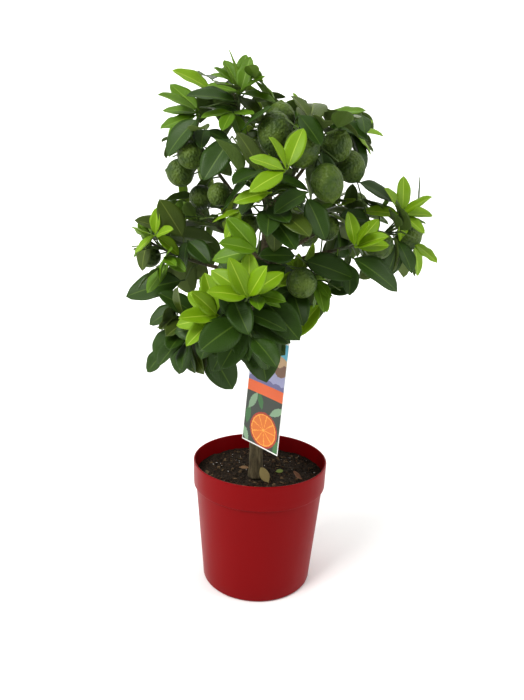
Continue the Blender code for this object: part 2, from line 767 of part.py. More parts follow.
def turned(name, profile, group, finish):
    """A closed round body from a profile of (radius, height) that runs down its outside."""
    bm = bmesh.new()
    corners = [bm.verts.new(metres((r, 0, z))) for r, z in profile]
    for a, b in zip(corners, corners[1:]):
        bm.edges.new((a, b))
    mesh = bpy.data.meshes.new(name)
    bm.to_mesh(mesh)
    bm.free()
    body = place(mesh, group, finish)
    screw = body.modifiers.new("turn", "SCREW")
    screw.steps = POT_STEPS
    screw.render_steps = POT_STEPS
    screw.use_merge_vertices = True
    screw.merge_threshold = 0.00005
    return body


def pot_inside(height):
    """The pot's inner radius at a height."""
    step = POT_HEIGHT - POT_BAND_HEIGHT
    if height >= step + POT_WALL:
        share = (height - step) / POT_BAND_HEIGHT
        return POT_BAND_RADIUS + (POT_MOUTH_RADIUS - POT_BAND_RADIUS) * share - POT_WALL
    return POT_BASE_RADIUS + (POT_BODY_RADIUS - POT_BASE_RADIUS) * height / step - POT_WALL


def make_pot(group, cutters):
    red = material("pot red", (0.30, 0.008, 0.012), 0.38)
    step = POT_HEIGHT - POT_BAND_HEIGHT
    lip = POT_WALL / 4
    profile = [
        (0, POT_FLOOR),
        (pot_inside(POT_FLOOR), POT_FLOOR),
        (pot_inside(step), step),
        (pot_inside(step + POT_WALL), step + POT_WALL),
        (POT_MOUTH_RADIUS - POT_WALL, POT_HEIGHT - lip),
        (POT_MOUTH_RADIUS - POT_WALL + lip, POT_HEIGHT),
        (POT_MOUTH_RADIUS - lip, POT_HEIGHT),
        (POT_MOUTH_RADIUS, POT_HEIGHT - lip),
        (POT_BAND_RADIUS, step + 1.2),
        (POT_BAND_RADIUS - 1.2, step),
        (POT_BODY_RADIUS, step - 0.6),
        (POT_BASE_RADIUS + 0.2, 3.0),
        (POT_BASE_RADIUS - 2.5, 0),
        (0, 0),
    ]
    pot = turned("pot", profile, group, red)
    for i in range(DRAIN_HOLES):
        bm = bmesh.new()
        bmesh.ops.create_cone(
            bm, cap_ends=True, segments=10, radius1=DRAIN_RADIUS * MM, radius2=DRAIN_RADIUS * MM, depth=8 * MM
        )
        cutter = place(mesh_from(bm, "drain hole %d" % (i + 1)), cutters)
        turn = 2 * math.pi * (i + 0.5) / DRAIN_HOLES
        cutter.location = metres((DRAIN_RING * math.cos(turn), DRAIN_RING * math.sin(turn), POT_FLOOR / 2))
        cutter.hide_render = True
        cutter.display_type = "WIRE"
        hole = pot.modifiers.new("drain hole", "BOOLEAN")
        hole.operation = "DIFFERENCE"
        hole.solver = "MANIFOLD"
        hole.object = cutter
    return pot


def make_soil(group):
    brown = material("soil brown", (0.035, 0.022, 0.015), 0.95)
    step = POT_HEIGHT - POT_BAND_HEIGHT
    profile = [
        (0, SOIL_LEVEL + SOIL_CROWN),
        (45, SOIL_LEVEL + SOIL_CROWN),
        (pot_inside(SOIL_LEVEL) - GAP, SOIL_LEVEL),
        (pot_inside(step + POT_WALL) - GAP, step + POT_WALL + GAP),
        (pot_inside(step) - GAP, step),
        (pot_inside(POT_FLOOR) - GAP, POT_FLOOR + GAP),
        (0, POT_FLOOR + GAP),
    ]
    return turned("soil", profile, group, brown)


def make_limbs(group, cutters):
    bark = material("trunk bark", (0.12, 0.09, 0.05), 0.85)
    path, radii = trunk_path()
    tube("trunk", path, radii, TRUNK_RESOLUTION, group, bark)
    end = path[-1] + (path[-1] - path[-2]).normalized() * GAP * MM
    swollen = tube(
        "trunk clearance", path[:-1] + [end], [r + GAP * MM for r in radii], TRUNK_RESOLUTION, cutters, None
    )
    swollen.hide_render = True
    swollen.display_type = "WIRE"
    for name in MASSES:
        wood = material("bark of the " + name + " bough", (0.11, 0.10, 0.05), 0.8)
        path, radii = bough_path(name)
        bough = tube("bough_" + name, path, radii, BOUGH_RESOLUTION, group, wood)
        fit = bough.modifiers.new("fit to trunk", "BOOLEAN")
        fit.operation = "DIFFERENCE"
        fit.object = swollen


def make_label(group):
    """A hanging card on a strap that ends in a loop round the trunk."""
    print_white = material("label card", (0.75, 0.75, 0.72), 0.45)
    bm = bmesh.new()
    bmesh.ops.create_cube(bm, size=1.0)
    for v in bm.verts:
        v.co = label_point(v.co.x, v.co.z + 0.5, v.co.y * LABEL_THICKNESS * MM)
    card = place(mesh_from(bm, "plant_label"), group, print_white)
    pieces = collection("pieces of the label")
    height = LABEL_LOOP_HEIGHT
    middle = trunk_axis(height)
    inner = trunk_radius(height) + (GAP + 0.4) * MM
    loop = loop_ring(middle, inner, inner + 1.2 * MM, STRAP_WIDTH * MM / 2)
    place(loop, pieces)
    top = label_point(0.0, 0.97, 0.0)
    front = middle + Vector((0, -inner - 0.6 * MM, 0))
    rise = Vector((0, 0, 1))
    path = bend(top, rise, front, 7)
    place(strap_strip(path), pieces)
    union = card.modifiers.new("union", "BOOLEAN")
    union.operation = "UNION"
    union.operand_type = "COLLECTION"
    union.collection = pieces
    depsgraph = bpy.context.evaluated_depsgraph_get()
    whole = bpy.data.meshes.new_from_object(card.evaluated_get(depsgraph))
    card.modifiers.clear()
    for piece in list(pieces.objects):
        bpy.data.objects.remove(piece)
    bpy.data.collections.remove(pieces)
    keep_largest_shell(whole)
    whole.name = "plant_label"
    card.data = whole
    return card


def loop_ring(middle, inner, outer, half):
    """A flat band bent round the trunk."""
    bm = bmesh.new()
    sides = 16
    made = []
    for radius, height in ((inner, -half), (outer, -half), (outer, half), (inner, half)):
        row = []
        for k in range(sides):
            turn = 2 * math.pi * k / sides
            corner = Vector((radius * math.cos(turn), radius * math.sin(turn), height))
            row.append(bm.verts.new(middle + corner))
        made.append(row)
    for a, b in zip(made, made[1:] + made[:1]):
        for k in range(sides):
            bm.faces.new((a[k], a[(k + 1) % sides], b[(k + 1) % sides], b[k]))
    return mesh_from(bm, "loop")


def strap_strip(path):
    """The strap from the card's top edge to the loop."""
    half_width = Vector((STRAP_WIDTH / 2 * MM, 0, 0))
    bm = bmesh.new()
    rows = []
    for i, point in enumerate(path):
        along = (path[min(i + 1, len(path) - 1)] - path[max(i - 1, 0)]).normalized()
        thick = along.cross(Vector((1, 0, 0))).normalized() * (LABEL_THICKNESS / 2 * MM)
        rows.append([bm.verts.new(point + w + t) for w, t in (
            (half_width, thick), (-half_width, thick), (-half_width, -thick), (half_width, -thick))])
    for a, b in zip(rows, rows[1:]):
        for k in range(4):
            bm.faces.new((a[k], a[(k + 1) % 4], b[(k + 1) % 4], b[k]))
    bm.faces.new(rows[0])
    bm.faces.new(rows[-1][::-1])
    return mesh_from(bm, "strap")


def make_foliage(group):
    for mass in grow_all(obstacles()):
        green = material("leaves of the " + mass.name + " mass", (0.07, 0.16, 0.03), 0.45)
        fused("foliage_" + mass.name, mass, group, green)


def main():
    for thing in list(bpy.data.objects):
        bpy.data.objects.remove(thing)
    tree = collection("potted lemon tree")
    cutters = collection("cutters")
    make_pot(tree, cutters)
    make_soil(tree)
    make_limbs(tree, cutters)
    make_label(tree)
    make_foliage(tree)


main()
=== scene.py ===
"""Potted lemon tree: its looks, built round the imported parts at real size.

Metres, +Z up, the front of the tree faces -Y. The tables and the growth rule are the
source's own, written again here, so that every leaf stands where its solid stands.
The rule then goes on to finer twigs inside the same reach.
"""

import math
import random

import bmesh
import bpy
import numpy as np
from mathutils import Matrix, Vector, noise
from mathutils.bvhtree import BVHTree


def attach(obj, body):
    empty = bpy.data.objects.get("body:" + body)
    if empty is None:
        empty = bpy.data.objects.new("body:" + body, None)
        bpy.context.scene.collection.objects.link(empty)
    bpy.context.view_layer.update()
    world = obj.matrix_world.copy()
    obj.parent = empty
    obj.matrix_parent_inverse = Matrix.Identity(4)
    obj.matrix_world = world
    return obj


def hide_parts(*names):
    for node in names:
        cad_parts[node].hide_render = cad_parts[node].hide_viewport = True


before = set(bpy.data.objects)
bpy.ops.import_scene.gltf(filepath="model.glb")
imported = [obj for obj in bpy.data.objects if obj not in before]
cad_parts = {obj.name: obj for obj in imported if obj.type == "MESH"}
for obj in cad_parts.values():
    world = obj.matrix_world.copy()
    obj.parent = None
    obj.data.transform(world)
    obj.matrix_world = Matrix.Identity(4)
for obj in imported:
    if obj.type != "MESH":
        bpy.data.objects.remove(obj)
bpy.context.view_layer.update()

MM = 0.001
GAP = 0.3  # between neighbours that touch

# Pot: a tapered tub with a near-upright band round its mouth
POT_HEIGHT = 180.5
POT_MOUTH_RADIUS = 95.0
POT_BAND_HEIGHT = 36.0
POT_BAND_RADIUS = 94.2
POT_BODY_RADIUS = 91.0
POT_BASE_RADIUS = 78.3
POT_WALL = 2.2
POT_FLOOR = 2.6
DRAIN_HOLES = 6
DRAIN_RADIUS = 5.0
DRAIN_RING = 56.0

# Soil
SOIL_LEVEL = 158.0
SOIL_CROWN = 1.6  # how far the soil's middle stands over its edge

# Trunk: axis offsets and radii at heights above the flat cut
TRUNK_FOOT = (-6.0, -18.0)
TRUNK_HEAD = (-2.0, -6.0)
TRUNK_TOP = 545.0
TRUNK_SWAY = 2.5
TRUNK_RADIUS = 9.6
TRUNK_HEAD_RADIUS = 4.6
FLARE_RADIUS = 2.2
FLARE_HEIGHT = 9.0
TRUNK_STATIONS = 13

# Boughs
BOUGH_RADIUS = 4.2
BOUGH_TIP_RADIUS = 2.5
BOUGH_SHARE = 0.58  # how far along the way to its mass a bough ends
BOUGH_STATIONS = 6

# Stems and twigs inside a mass
STEM_RADIUS = 2.3
STEM_TIP_RADIUS = 1.3
TWIG_RADIUS = 1.3
TWIG_TIP_RADIUS = 0.9
TWIG_STATIONS = 3
GOLDEN_TURN = math.radians(137.5)

# Leaves
LEAF_THICKNESS = 1.3
LEAF_FOLD = 0.22
MATURE_LENGTH = 64.0
YOUNG_LENGTH = 44.0
MATURE_WIDTH = 0.56  # of the length
YOUNG_WIDTH = 0.45
CELL_GAP = 0.5  # from a leaf to the border of its mass's space
LIMB_CLEARANCE = 1.2
TWIG_CLEARANCE = 0.4
LEAF_SWELL = 1.9  # times its thickness, where a leaf passes other masses

# The crown's outline as it shows from the front: its reach in 48 directions, from +X
# towards +Z, round a middle in an upright plane, seen from the viewer's place
VIEWER = (-3.2, -792.3, 524.5)
OUTLINE_MIDDLE = (-10.0, -40.0, 520.0)
OUTLINE_MARGIN = 3.0
OUTLINE = (
    211, 226, 200, 142, 161, 169, 173, 174, 163, 148, 139, 148, 152, 185, 190, 184,
    191, 184, 182, 154, 139, 127, 118, 118, 156, 157, 167, 168, 199, 195, 188, 248,
    232, 225, 220, 222, 207, 205, 190, 151, 149, 142, 133, 150, 149, 190, 223, 220,
)

# Hanging label
LABEL_WIDTH = 65.0
LABEL_HEIGHT = 152.0
LABEL_THICKNESS = 0.9
LABEL_FOOT = (-1.7, -54.0, 219.0)
LABEL_TURN = 44.0
LABEL_TILT = 5.0
LABEL_LOOP_HEIGHT = 354.0
STRAP_WIDTH = 9.0

# Each mass of foliage: its middle, the size of its space, the height at which its
# bough leaves the trunk, and the twigs that its rule adds to the sprays below
MASSES = {
    "top": ((-48, -25, 655), 62, 537, 5),
    "upper_left": ((-95, -45, 600), 58, 500, 5),
    "upper_front": ((42, -90, 598), 60, 515, 6),
    "upper_right": ((80, 15, 628), 62, 530, 5),
    "right": ((142, -50, 508), 72, 440, 4),
    "left": ((-132, -40, 478), 66, 425, 5),
    "front": ((-5, -105, 542), 62, 470, 6),
    "lower_right": ((52, -72, 448), 66, 405, 5),
    "lower_front": ((-30, -145, 420), 60, 392, 3),
    "lower_left": ((-92, -88, 392), 58, 380, 3),
    "back_left": ((-95, 75, 520), 74, 455, 4),
    "back_right": ((95, 88, 520), 76, 448, 4),
    "back_top": ((5, 70, 622), 70, 520, 5),
    "back_low": ((-5, 70, 428), 70, 398, 3),
}

# Sprays that show at the front: mass, foot, first and last angle of the fan (degrees
# from +X towards +Z), leaves, leaf length, lean towards the front (degrees), young
SPRAYS = [
    ("top", (-45, -20, 677), 72, 160, 5, 38, 10, True),
    ("top", (-40, -45, 660), -8, 165, 5, 42, 20, True),
    ("top", (-76, -25, 665), 147, 147, 1, 48, 5, True),
    ("top", (-42, -60, 648), 174, 174, 1, 60, 10, False),
    ("upper_front", (-38, -75, 613), 45, 45, 1, 50, 20, False),
    ("top", (-49, -60, 637), 190, 350, 4, 38, 30, True),
    ("upper_left", (-88, -50, 639), 140, 205, 5, 48, 10, True),
    ("upper_left", (-85, -75, 627), 225, 225, 1, 54, 10, False),
    ("upper_left", (-80, -60, 618), 188, 350, 3, 36, 25, False),
    ("front", (-46, -95, 606), 238, 238, 1, 56, 25, False),
    ("upper_right", (33, -10, 646), 22, 107, 2, 30, 10, True),
    ("upper_right", (68, 10, 651), 6, 6, 1, 50, 5, True),
    ("upper_right", (98, 0, 630), -38, 20, 3, 42, 5, True),
    ("upper_right", (71, -30, 634), -22, -22, 1, 48, 20, False),
    ("upper_front", (25, -125, 628), -46, -46, 1, 42, 20, False),
    ("front", (16, -160, 568), 74, 203, 4, 44, 15, True),
    ("front", (1, -150, 545), 189, 189, 1, 42, 5, True),
    ("front", (40, -140, 547), 204, 204, 1, 44, 25, False),
    ("front", (38, -130, 543), -54, -54, 1, 50, 15, False),
    ("right", (160, -60, 531), -81, 173, 7, 42, 10, True),
    ("right", (104, -50, 565), -18, -18, 1, 48, 5, False),
    ("right", (122, -55, 520), 173, 173, 1, 40, 20, False),
    ("right", (98, -110, 489), 6, 102, 5, 42, 20, True),
    ("right", (182, -40, 494), -69, -38, 2, 44, 10, True),
    ("right", (161, -45, 497), -99, -61, 2, 50, 15, False),
    ("right", (95, -100, 478), -28, -28, 1, 64, 10, False),
    ("lower_right", (97, -80, 470), -82, -82, 1, 40, 10, False),
    ("left", (-137, -70, 493), -36, 212, 5, 36, 20, True),
    ("left", (-104, -60, 490), 121, 121, 1, 50, 20, False),
    ("left", (-121, -60, 460), 234, 234, 1, 44, 15, True),
    ("left", (-106, -30, 435), 193, 193, 1, 80, 5, False),
    ("left", (-149, -40, 491), 244, 244, 1, 44, 10, False),
    ("left", (-99, -60, 488), 250, 330, 2, 44, 15, False),
    ("front", (-12, -160, 482), 132, 195, 3, 48, 15, True),
    ("lower_front", (-19, -180, 438), 38, 165, 6, 48, 5, True),
    ("lower_front", (-54, -165, 413), 101, 220, 6, 46, 10, True),
    ("lower_front", (-38, -160, 435), 236, 301, 2, 46, 25, False),
    ("lower_front", (-38, -150, 403), 176, 176, 1, 64, 15, False),
    ("lower_front", (-23, -135, 421), -67, -67, 1, 92, 20, False),
    ("lower_left", (-94, -110, 387), 257, 257, 1, 56, 10, False),
    ("lower_front", (-37, -110, 389), 245, 245, 1, 60, 10, False),
    ("lower_left", (-73, -90, 368), -59, -59, 1, 66, 10, False),
    ("lower_left", (-121, -80, 357), 232, 232, 1, 42, 0, False),
    ("lower_left", (-104, -90, 412), 211, 211, 1, 46, 15, False),
    ("lower_right", (44, -80, 430), 233, 233, 1, 50, 15, False),
    ("lower_right", (27, -95, 436), 202, 202, 1, 46, 20, False),
    ("lower_right", (68, -70, 418), 225, 225, 1, 52, 15, True),
    ("lower_right", (61, -80, 441), -65, -65, 1, 36, 25, True),
    ("lower_right", (40, -100, 472), -21, -21, 1, 60, 20, False),
    ("lower_right", (33, -110, 477), 172, 172, 1, 46, 20, False),
    ("lower_right", (22, -110, 466), 215, 215, 1, 48, 20, False),
]

# Fruit that shows at the front: mass, middle, width, length, the way its nipple points
FRUIT = [
    ("upper_front", (2, -80, 612), 40, 54, (0.0, -0.3, -1.0)),
    ("upper_front", (32, -115, 593), 39, 45, (0.1, -0.5, -0.9)),
    ("upper_front", (73, -85, 601), 35, 39, (0.4, -0.5, 0.8)),
    ("upper_front", (94, -55, 581), 35, 42, (0.5, -0.2, -0.8)),
    ("upper_front", (61, -122, 558), 36, 46, (0.3, -0.3, -0.9)),
    ("upper_front", (8, -45, 634), 36, 40, (0.0, -0.3, 1.0)),
    ("upper_left", (-95, -70, 586), 32, 35, (-0.6, -0.75, -0.2)),
    ("upper_left", (-112, -38, 568), 34, 36, (-1.0, -0.3, 0.1)),
    ("upper_left", (-88, -20, 540), 30, 32, (-0.3, -0.2, -0.9)),
    ("front", (-62, -62, 543), 28, 30, (-0.2, -0.6, -0.8)),
    ("front", (-26, -60, 508), 26, 29, (-0.2, -0.6, -0.8)),
    ("lower_right", (69, -68, 509), 31, 34, (0.2, -0.6, -0.8)),
    ("lower_right", (40, -108, 446), 36, 38, (0.15, -0.85, -0.45)),
    ("right", (132, -72, 491), 35, 38, (0.8, -0.6, 0.0)),
    ("right", (176, -32, 500), 33, 36, (0.85, -0.3, 0.3)),
    ("right", (113, -22, 521), 28, 30, (0.3, -0.4, -0.8)),
    ("left", (-155, -12, 462), 28, 31, (-0.6, -0.3, -0.7)),
]
SPRAY_TRIES = (  # how far a leaf may turn and lift from its place in the table
    (0, 0), (8, -4), (-8, 4), (0, 16), (0, -16), (14, 10),
    (-14, -10), (8, 26), (-8, -26), (20, 0), (-20, 0), (4, 40),
)
BACK_FRUIT_WIDTH = 34.0
BACK_FRUIT = {"back_left": 3, "back_right": 3, "back_top": 2, "back_low": 1}




def metres(values):
    return Vector(values) * MM


def bend(start, aim, end, count):
    """Points on an even curve from start, that sets off along aim and arrives at end."""
    pull = start + aim.normalized() * (end - start).length * 0.45
    points = []
    for i in range(count):
        t = i / (count - 1)
        points.append(start.lerp(pull, t).lerp(pull.lerp(end, t), t))
    return points


def taper(first, last, count):
    return [(first + (last - first) * i / (count - 1)) * MM for i in range(count)]


def trunk_axis(height):
    """The middle of the trunk at a height in millimetres. Its foot stands upright."""
    t = max(0.0, height - SOIL_LEVEL - FLARE_HEIGHT) / (TRUNK_TOP - SOIL_LEVEL - FLARE_HEIGHT)
    x = TRUNK_FOOT[0] + (TRUNK_HEAD[0] - TRUNK_FOOT[0]) * t - TRUNK_SWAY * math.sin(math.pi * t)
    y = TRUNK_FOOT[1] + (TRUNK_HEAD[1] - TRUNK_FOOT[1]) * t
    return metres((x, y, height))


def trunk_radius(height):
    above = height - SOIL_LEVEL
    t = above / (TRUNK_TOP - SOIL_LEVEL)
    slim = TRUNK_RADIUS + (TRUNK_HEAD_RADIUS - TRUNK_RADIUS) * t ** 1.6
    return (slim + FLARE_RADIUS * math.exp(-above / FLARE_HEIGHT)) * MM


def trunk_path():
    """The trunk's axis and radii, with its stations closest at the root flare."""
    foot = SOIL_LEVEL + SOIL_CROWN + GAP
    heights = []
    for i in range(TRUNK_STATIONS):
        t = i / (TRUNK_STATIONS - 1)
        heights.append(foot + (TRUNK_TOP - foot) * t ** 1.7)
    return [trunk_axis(h) for h in heights], [trunk_radius(h) for h in heights]


def bough_path(name):
    """One tapering limb from the trunk to where its mass of foliage begins."""
    middle, _, height, _ = MASSES[name]
    middle = metres(middle)
    root = trunk_axis(height)
    way = middle - root
    flat = Vector((way.x, way.y, 0))
    aim = flat.normalized() * min(1.0, flat.length / way.z if way.z > 0 else 1.0) + Vector((0, 0, 0.75))
    tip = root.lerp(middle, BOUGH_SHARE)
    return bend(root, aim, tip, BOUGH_STATIONS), taper(BOUGH_RADIUS, BOUGH_TIP_RADIUS, BOUGH_STATIONS)


def ring_frame(direction, side):
    side = (side - direction * side.dot(direction)).normalized()
    return side, direction.cross(side)


def swept(path, radii, sides):
    """A closed limb: a ring of corners drawn out along the path."""
    bm = bmesh.new()
    ring = bmesh.ops.create_circle(bm, cap_ends=True, segments=sides, radius=1.0)["verts"]
    corners = [v.co.copy() for v in ring]
    side = (path[1] - path[0]).orthogonal().normalized()
    cap = bm.faces[:]
    for i, point in enumerate(path):
        direction = (path[min(i + 1, len(path) - 1)] - path[max(i - 1, 0)]).normalized()
        side, across = ring_frame(direction, side)
        if i:
            drawn = bmesh.ops.extrude_face_region(bm, geom=cap)["geom"]
            if i > 1:
                bmesh.ops.delete(bm, geom=cap, context="FACES_ONLY")
            cap = [g for g in drawn if isinstance(g, bmesh.types.BMFace)]
            ring = ring_after(ring, drawn)
        for v, corner in zip(ring, corners):
            v.co = point + (side * corner.x + across * corner.y) * radii[i]
    bmesh.ops.recalc_face_normals(bm, faces=bm.faces)
    return bm


def ring_after(ring, drawn):
    """The new corners, in the order of the ones that they were drawn from."""
    new = {g for g in drawn if isinstance(g, bmesh.types.BMVert)}
    order = []
    for v in ring:
        order.append(next(e.other_vert(v) for e in v.link_edges if e.other_vert(v) in new))
    return order


def leaf(foot, direction, face, length, width, droop):
    direction = direction.normalized()
    side = face.cross(direction).normalized()
    return {
        "foot": foot,
        "along": direction,
        "side": side,
        "up": direction.cross(side),
        "length": length * MM,
        "width": width * length * MM,
        "droop": droop,
    }


def leaf_point(blade, along, across, above):
    """A point of a leaf: along its midrib, across it from -1 to 1, and above its middle."""
    length = blade["length"]
    rise = LEAF_FOLD * abs(across) * blade["width"] / 2 - blade["droop"] * length * along * along
    return (
        blade["foot"]
        + blade["along"] * (length * along)
        + blade["side"] * (blade["width"] / 2 * across)
        + blade["up"] * (rise + above)
    )


def leaf_solid(blade, start=0.0, swell=1.0):
    """A flattened six-sided ball, folded along the midrib and drooping to the tip."""
    bm = bmesh.new()
    bmesh.ops.create_uvsphere(bm, u_segments=6, v_segments=2, radius=1.0)
    for v in bm.verts:
        along = start + (1.0 - start) * (1.0 + v.co.y) / 2.0
        v.co = leaf_point(blade, along, v.co.x, v.co.z * LEAF_THICKNESS * swell / 2 * MM)
    bmesh.ops.recalc_face_normals(bm, faces=bm.faces)
    return bm


def fruit_axes(fruit):
    aim = fruit["aim"]
    side, across = ring_frame(aim, aim.orthogonal())
    return side, across, aim


def fruit_solid(fruit):
    """A ball drawn out to the fruit's length, with a nipple at its free end."""
    bm = bmesh.new()
    bmesh.ops.create_uvsphere(bm, u_segments=8, v_segments=4, radius=1.0)
    side, across, aim = fruit_axes(fruit)
    for v in bm.verts:
        reach = v.co.z * fruit["length"] / 2
        wide = fruit["width"] / 2
        v.co = fruit["middle"] + side * (v.co.x * wide) + across * (v.co.y * wide) + aim * reach
    bmesh.ops.recalc_face_normals(bm, faces=bm.faces)
    return bm


def inside(name, point):
    """Whether a point lies in a mass's own space, which flat borders part from the others."""
    middle, size, _, _ = MASSES[name]
    middle = metres(middle)
    own = (point - middle).length_squared - (size * MM) ** 2
    for other, (there, reach, _, _) in MASSES.items():
        if other == name:
            continue
        there = metres(there)
        theirs = (point - there).length_squared - (reach * MM) ** 2
        if (theirs - own) / (2 * (there - middle).length) < CELL_GAP * MM:
            return False
    return True


def obstacles():
    """What no leaf or twig may touch: every limb and the label, a little swollen."""
    trees = []
    for path, radii in [trunk_path()] + [bough_path(name) for name in MASSES]:
        swollen = [r + LIMB_CLEARANCE * MM for r in radii]
        trees.append(BVHTree.FromBMesh(swept(path, swollen, 8)))
    trees.append(BVHTree.FromBMesh(label_block()))
    return trees


def label_block():
    """A box round the label's card, for the leaves to keep out of."""
    bm = bmesh.new()
    bmesh.ops.create_cube(bm, size=1.0)
    for v in bm.verts:
        v.co = label_point(v.co.x * 1.04, v.co.z + 0.5, v.co.y * 3.0 * MM)
    return bm


def label_axes():
    turn = math.radians(LABEL_TURN)
    tilt = math.radians(LABEL_TILT)
    level = Vector((math.cos(turn), -math.sin(turn), 0))
    up = Vector((0, 0, 1))
    wide = level * math.cos(tilt) - up * math.sin(tilt)
    tall = up * math.cos(tilt) + level * math.sin(tilt)
    return wide, tall, tall.cross(wide)


def label_point(across, up, out):
    """A point of the label: across from -0.5 to 0.5, up from 0 to 1, out of its back."""
    wide, tall, back = label_axes()
    foot = metres(LABEL_FOOT)
    return foot + wide * (across * LABEL_WIDTH * MM) + tall * (up * LABEL_HEIGHT * MM) + back * out


def free(shape, trees):
    tree = BVHTree.FromBMesh(shape)
    shape.free()
    return not any(tree.overlap(other) for other in trees)


def in_outline(point):
    """Whether a point shows inside the crown's outline from the viewer's place."""
    viewer, middle = metres(VIEWER), metres(OUTLINE_MIDDLE)
    shown = viewer + (point - viewer) * ((middle.y - viewer.y) / (point.y - viewer.y))
    away = shown - middle
    turn = math.atan2(away.z, away.x) / (2 * math.pi) % 1.0 * len(OUTLINE)
    first = int(turn)
    share = turn - first
    reach = OUTLINE[first % len(OUTLINE)] * (1 - share) + OUTLINE[(first + 1) % len(OUTLINE)] * share
    return away.length < (reach + OUTLINE_MARGIN) * MM


def hides_fruit(point):
    """Whether a point stands before one of the fruit that show at the front."""
    viewer = metres(VIEWER)
    way = (point - viewer).normalized()
    for _, middle, width, _, _ in FRUIT:
        to_fruit = metres(middle) - viewer
        near = (point - viewer).length < to_fruit.length
        if near and (to_fruit - way * to_fruit.dot(way)).length < 0.48 * width * MM:
            return True
    return False


def fan_direction(angle, lean):
    """A way in the plane that faces the front, turned towards the front by lean."""
    a, b = math.radians(angle), math.radians(lean)
    return Vector((math.cos(a) * math.cos(b), -math.sin(b), math.sin(a) * math.cos(b)))


class Mass:
    """One mass of foliage: the stem that its bough feeds, with twigs, leaves and fruit."""

    def __init__(self, name, hard):
        number = list(MASSES).index(name)
        self.name = name
        self.middle = metres(MASSES[name][0])
        self.size = MASSES[name][1] * MM
        self.rng = random.Random(1 + number)
        self.hard = hard
        self.walls = [tree for i, tree in enumerate(hard) if i != 1 + number]  # all but its own bough
        self.others = []
        self.soft = []
        self.twigs = []
        self.leaves = []
        self.fruit = []
        path, radii = bough_path(name)
        way = (path[-1] - path[-2]).normalized()
        start = path[-1] + way * GAP * MM
        end = self.middle + way * self.size * 0.25
        self.stem = bend(start, way, end, 5)
        self.stem_radii = taper(min(STEM_RADIUS, radii[-1] / MM), STEM_TIP_RADIUS, 5)
        swollen = [r + TWIG_CLEARANCE * MM for r in self.stem_radii]
        self.wood = BVHTree.FromBMesh(swept(self.stem, swollen, 6))

    def taken(self):
        """What the other masses have grown so far."""
        return [tree for mass in self.others for tree in [mass.wood] + mass.soft]

    def on_stem(self, t):
        step = min(int(t * 4), 3)
        return self.stem[step].lerp(self.stem[step + 1], t * 4 - step)

    def nearest_on_stem(self, point, play):
        """The place on the stem from which a twig reaches a point at an easy angle."""
        best = min(range(21), key=lambda i: (self.on_stem(i / 20) - point).length)
        share = best / 20 - 0.2 + self.rng.uniform(-play, play)
        last = 0.93 + 0.04 * self.rng.random()
        first = 0.08 + 0.08 * self.rng.random()
        return self.on_stem(min(last, max(first, share)))

    def twig_to(self, tip, play=0.04):
        root = self.nearest_on_stem(tip, play)
        away = (tip - root).normalized()
        aim = away + (self.stem[-1] - self.stem[0]).normalized() * 0.6 + Vector((0, 0, 0.25))
        aim += self.any_way() * (play - 0.04) * 3
        return bend(root, aim, tip, TWIG_STATIONS)

    def any_way(self):
        return Vector([self.rng.uniform(-1, 1) for _ in range(3)])

    def clear_twig(self, tip):
        """A twig that runs clear of the limbs and the other masses, or nothing."""
        taken = self.taken()
        for attempt in range(14):
            path = self.twig_to(tip, 0.04 + 0.025 * attempt)
            radii = taper(TWIG_RADIUS + TWIG_CLEARANCE, TWIG_TIP_RADIUS + TWIG_CLEARANCE, len(path))
            if free(swept(path, radii, 5), self.walls + taken):
                return path
        return None

    def add_twig(self, path, radius=TWIG_RADIUS, tip_radius=TWIG_TIP_RADIUS):
        radii = taper(radius, tip_radius, len(path))
        self.twigs.append((path, radii))
        self.soft.append(BVHTree.FromBMesh(swept(path, radii, 3)))

    def leaf_fits(self, blade, shown):
        """Whether a leaf touches nothing and, unless the front shows it, keeps to its space."""
        for along, across in ((0.25, 0.87), (0.25, -0.87), (0.75, 0.87), (0.75, -0.87), (1.0, 0.0)):
            point = leaf_point(blade, along, across, 0.0)
            if not shown and not (inside(self.name, point) and in_outline(point)):
                return False
        for along, across in ((0.3, 0.0), (0.5, 0.8), (0.5, -0.8), (0.55, 0.0), (0.8, 0.0), (1.0, 0.0)):
            if not shown and hides_fruit(leaf_point(blade, along, across, 0.0)):
                return False
        if not free(leaf_solid(blade, start=0.14), self.hard + self.soft):
            return False
        return free(leaf_solid(blade, swell=LEAF_SWELL), self.taken())

    def add_leaf(self, tries, shown=False):
        """The first of the tried leaves that fits."""
        for blade in tries:
            if self.leaf_fits(blade, shown):
                self.leaves.append(blade)
                self.soft.append(BVHTree.FromBMesh(leaf_solid(blade, start=0.14)))
                return

    def face(self, direction, point):
        """The way a leaf's upper side looks: up and out of the crown, with some play."""
        out = point - metres((0, 0, 480))
        face = Vector((0, 0, 0.9)) + out.normalized() * 0.8 + self.any_way() * 0.45
        return face - direction * face.dot(direction)

    def hang_fruit(self, middle, width, length, aim, shown=True):
        aim = Vector(aim).normalized()
        fruit = {"middle": middle, "aim": aim, "width": width * MM, "length": length * MM}
        path = self.clear_twig(middle - aim * (length * MM * 0.42))
        if path is None or not (shown or free(fruit_solid(fruit), self.hard + self.soft + self.taken())):
            return
        self.fruit.append(fruit)
        self.soft.append(BVHTree.FromBMesh(fruit_solid(fruit)))
        self.add_twig(path)

    def hang_back_fruit(self, number):
        """A fruit on the side that the front view does not show."""
        turn = math.radians(35 + 70 * number)
        way = Vector((math.cos(turn), math.sin(turn), 0.5 - 0.6 * number))
        middle = self.middle + way.normalized() * self.size * 0.6
        width = BACK_FRUIT_WIDTH * self.rng.uniform(0.9, 1.1)
        self.hang_fruit(middle, width, width * 1.12, (way.x * 0.4, way.y * 0.4, -1.0), shown=False)

